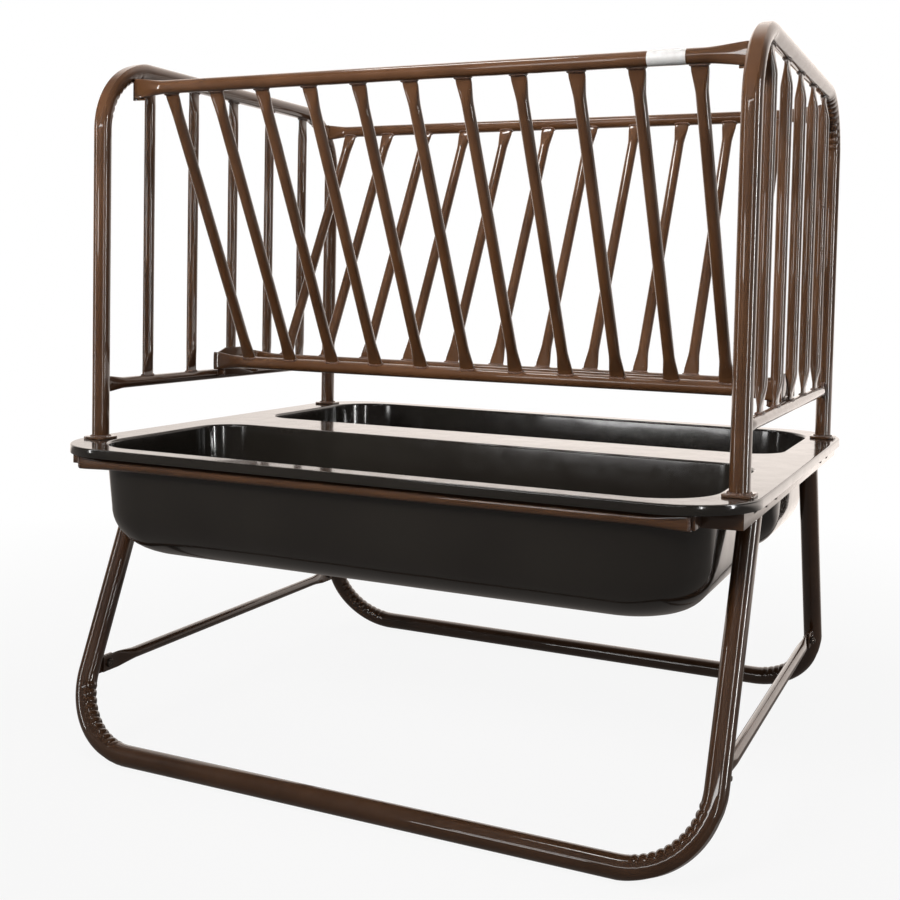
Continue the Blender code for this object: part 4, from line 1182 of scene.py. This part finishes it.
def make_floor():
    """A white sweep that shows the feeder's shadow and stays close to white for the camera.
    Its mirror image is dim in front of the feeder and as bright as the wall behind it."""
    far = FLOOR_REACH
    mesh = bpy.data.meshes.new("floor")
    mesh.from_pydata([(-far, -far, 0), (far, -far, 0), (far, far, 0), (-far, far, 0)], [], [(0, 1, 2, 3)])
    made, tree, place = new_finish("matt_white_sweep")
    tree.nodes.remove(tree.nodes["Principled BSDF"])
    ray = add(tree, "ShaderNodeLightPath")
    tone = add(tree, "ShaderNodeMix", {
        0: ray.outputs["Is Diffuse Ray"], 6: linear(PAPER), 7: linear(PAPER_IN_BOUNCES)}, data_type="RGBA")
    paper = add(tree, "ShaderNodeBsdfDiffuse", {"Color": tone.outputs[2]})
    mirrored = along_axis(tree, place, "Y", (0.9, 2.4), (FLOOR_SHINE, WALL_SHINE))
    level = add(tree, "ShaderNodeMix", {0: ray.outputs["Is Glossy Ray"], 2: 1.0, 3: mirrored})
    tint = add(tree, "ShaderNodeMix", {
        0: ray.outputs["Is Glossy Ray"], 6: linear(WHITE), 7: linear(WARM_WHITE)}, data_type="RGBA")
    glow = add(tree, "ShaderNodeEmission", {"Color": tint.outputs[2], "Strength": level.outputs[0]})
    # For the camera a tenth of the shadow shows near the feeder, and none beyond 3 m
    away = add(tree, "ShaderNodeVectorMath", {0: place}, operation="LENGTH")
    white = add(tree, "ShaderNodeMapRange", {
        "Value": away.outputs["Value"], "From Min": 1.2, "From Max": 3.0, "To Min": 0.90})
    share = add(tree, "ShaderNodeMath", {
        0: ray.outputs["Is Camera Ray"], 1: white.outputs["Result"]}, operation="MULTIPLY")
    both = add(tree, "ShaderNodeMath", {
        0: share.outputs[0], 1: ray.outputs["Is Glossy Ray"]}, operation="MAXIMUM")
    mix = add(tree, "ShaderNodeMixShader", {0: both.outputs[0], 1: paper.outputs[0], 2: glow.outputs[0]})
    fill(tree, tree.nodes["Material Output"], {"Surface": mix.outputs[0]})
    mesh.materials.append(made)
    link_mesh("floor", mesh)


def make_world():
    """White for the camera, a soft even light on the object, and for reflections a white wall behind it
    with a dim room in front, which leaves the gloss coat dark where it faces the camera."""
    world = bpy.data.worlds.new("white_room")
    bpy.context.scene.world = world
    world.use_nodes = True
    world.cycles.sampling_method = "NONE"
    tree = world.node_tree
    tree.nodes.clear()
    ray = add(tree, "ShaderNodeLightPath")
    seen = add(tree, "ShaderNodeMath", {
        0: ray.outputs["Is Camera Ray"], 1: ray.outputs["Is Transmission Ray"]}, operation="MAXIMUM")
    level = add(tree, "ShaderNodeMix", {0: seen.outputs[0], 2: ROOM_LIGHT, 3: 1.0})
    # The wall behind is a little darker at the left, and ends at the right where the room is dim
    way = add(tree, "ShaderNodeTexCoord").outputs["Generated"]
    left = along_axis(tree, way, "X", (-0.58, -0.36), (LEFT_WALL_SHINE, WALL_SHINE))
    wall = along_axis(tree, way, "X", (0.50, 0.68), (left, RIGHT_WALL_SHINE))
    room = along_axis(tree, way, "Z", (0.0, 0.8), (ROOM_SHINE, CEILING_SHINE))
    mirrored = along_axis(tree, way, "Y", (0.12, 0.45), (room, wall))
    lit = add(tree, "ShaderNodeMix", {0: ray.outputs["Is Glossy Ray"], 2: level.outputs[0], 3: mirrored})
    tint = add(tree, "ShaderNodeMix", {
        0: ray.outputs["Is Glossy Ray"], 6: linear(WHITE), 7: linear(WARM_WHITE)}, data_type="RGBA")
    shown = add(tree, "ShaderNodeBackground", {"Color": tint.outputs[2], "Strength": lit.outputs[0]})
    add(tree, "ShaderNodeOutputWorld", {"Surface": shown.outputs[0]})


def softbox(name, place, target, width, height, watts, spread_angle=180, mirrored=False):
    """A rectangular lamp aimed at a point. It lights the object, or only shows in its reflections."""
    data = bpy.data.lights.new(name, "AREA")
    data.shape = "RECTANGLE"
    data.size = width
    data.size_y = height
    data.energy = watts
    data.spread = radians(spread_angle)
    made = bpy.data.objects.new(name, data)
    bpy.context.scene.collection.objects.link(made)
    made.location = place
    made.rotation_euler = (Vector(target) - Vector(place)).to_track_quat("-Z", "Y").to_euler()
    made.visible_camera = False
    made.visible_glossy = mirrored
    made.visible_diffuse = not mirrored


def make_lights():
    softbox("overhead", (-0.2, -0.9, 3.3), (0.0, -0.2, 1.0), 3.0, 1.2, 31)
    softbox("rack_key", (-0.6, -2.8, 2.3), (0.0, -0.3, 1.40), 1.4, 1.0, 20, spread_angle=60)
    softbox("back_fill", (1.7, 4.6, 2.4), (0.6, 0.0, 0.8), 5.0, 2.6, 45)
    softbox("right_fill", (4.2, 0.3, 2.0), (0.5, 0.0, 0.9), 2.5, 1.6, 24)
    softbox("left_fill", (-4.2, 0.3, 2.0), (-0.5, 0.0, 0.9), 2.5, 1.6, 24)
    # Narrow strips that draw the thin white lines along the tubes, and a high window for the bends
    softbox("left_strip", (-3.0, -2.4, 1.3), (0.0, -0.4, 0.8), 0.10, 2.4, 20, mirrored=True)
    softbox("right_strip", (2.9, -2.6, 1.3), (0.3, -0.3, 0.8), 0.08, 2.4, 22, mirrored=True)
    softbox("side_strip", (3.4, -0.4, 1.3), (0.6, -0.2, 0.8), 0.09, 2.4, 50, mirrored=True)
    softbox("top_window", (-0.85, -0.7, 3.6), (-0.3, 0.1, 1.0), 1.10, 0.24, 17, mirrored=True)
    softbox("high_window", (0.5, -7.0, 2.8), (0.0, 0.0, 0.7), 6.5, 0.34, 75, mirrored=True)
    softbox("low_window", (-2.1, -7.0, 1.5), (0.0, 0.0, 0.8), 1.3, 0.5, 20, mirrored=True)


def make_camera():
    forward = Vector((
        -sin(CAMERA_YAW) * cos(CAMERA_PITCH), cos(CAMERA_YAW) * cos(CAMERA_PITCH),
        sin(CAMERA_PITCH)))
    level_right = forward.cross(Z_AXIS).normalized()
    level_up = level_right.cross(forward)
    right = level_right * cos(CAMERA_ROLL) + level_up * sin(CAMERA_ROLL)
    up = right.cross(forward)
    data = bpy.data.cameras.new("camera")
    data.sensor_width = 36.0
    data.lens = CAMERA_LENS
    data.shift_x, data.shift_y = CAMERA_SHIFT
    made = bpy.data.objects.new("camera", data)
    bpy.context.scene.collection.objects.link(made)
    turn = Matrix((right, up, -forward)).transposed()
    made.matrix_world = Matrix.Translation(CAMERA_PLACE) @ turn.to_4x4()
    bpy.context.scene.camera = made


make_floor()
make_world()
make_lights()
make_camera()
bpy.context.scene.view_settings.view_transform = "Standard"
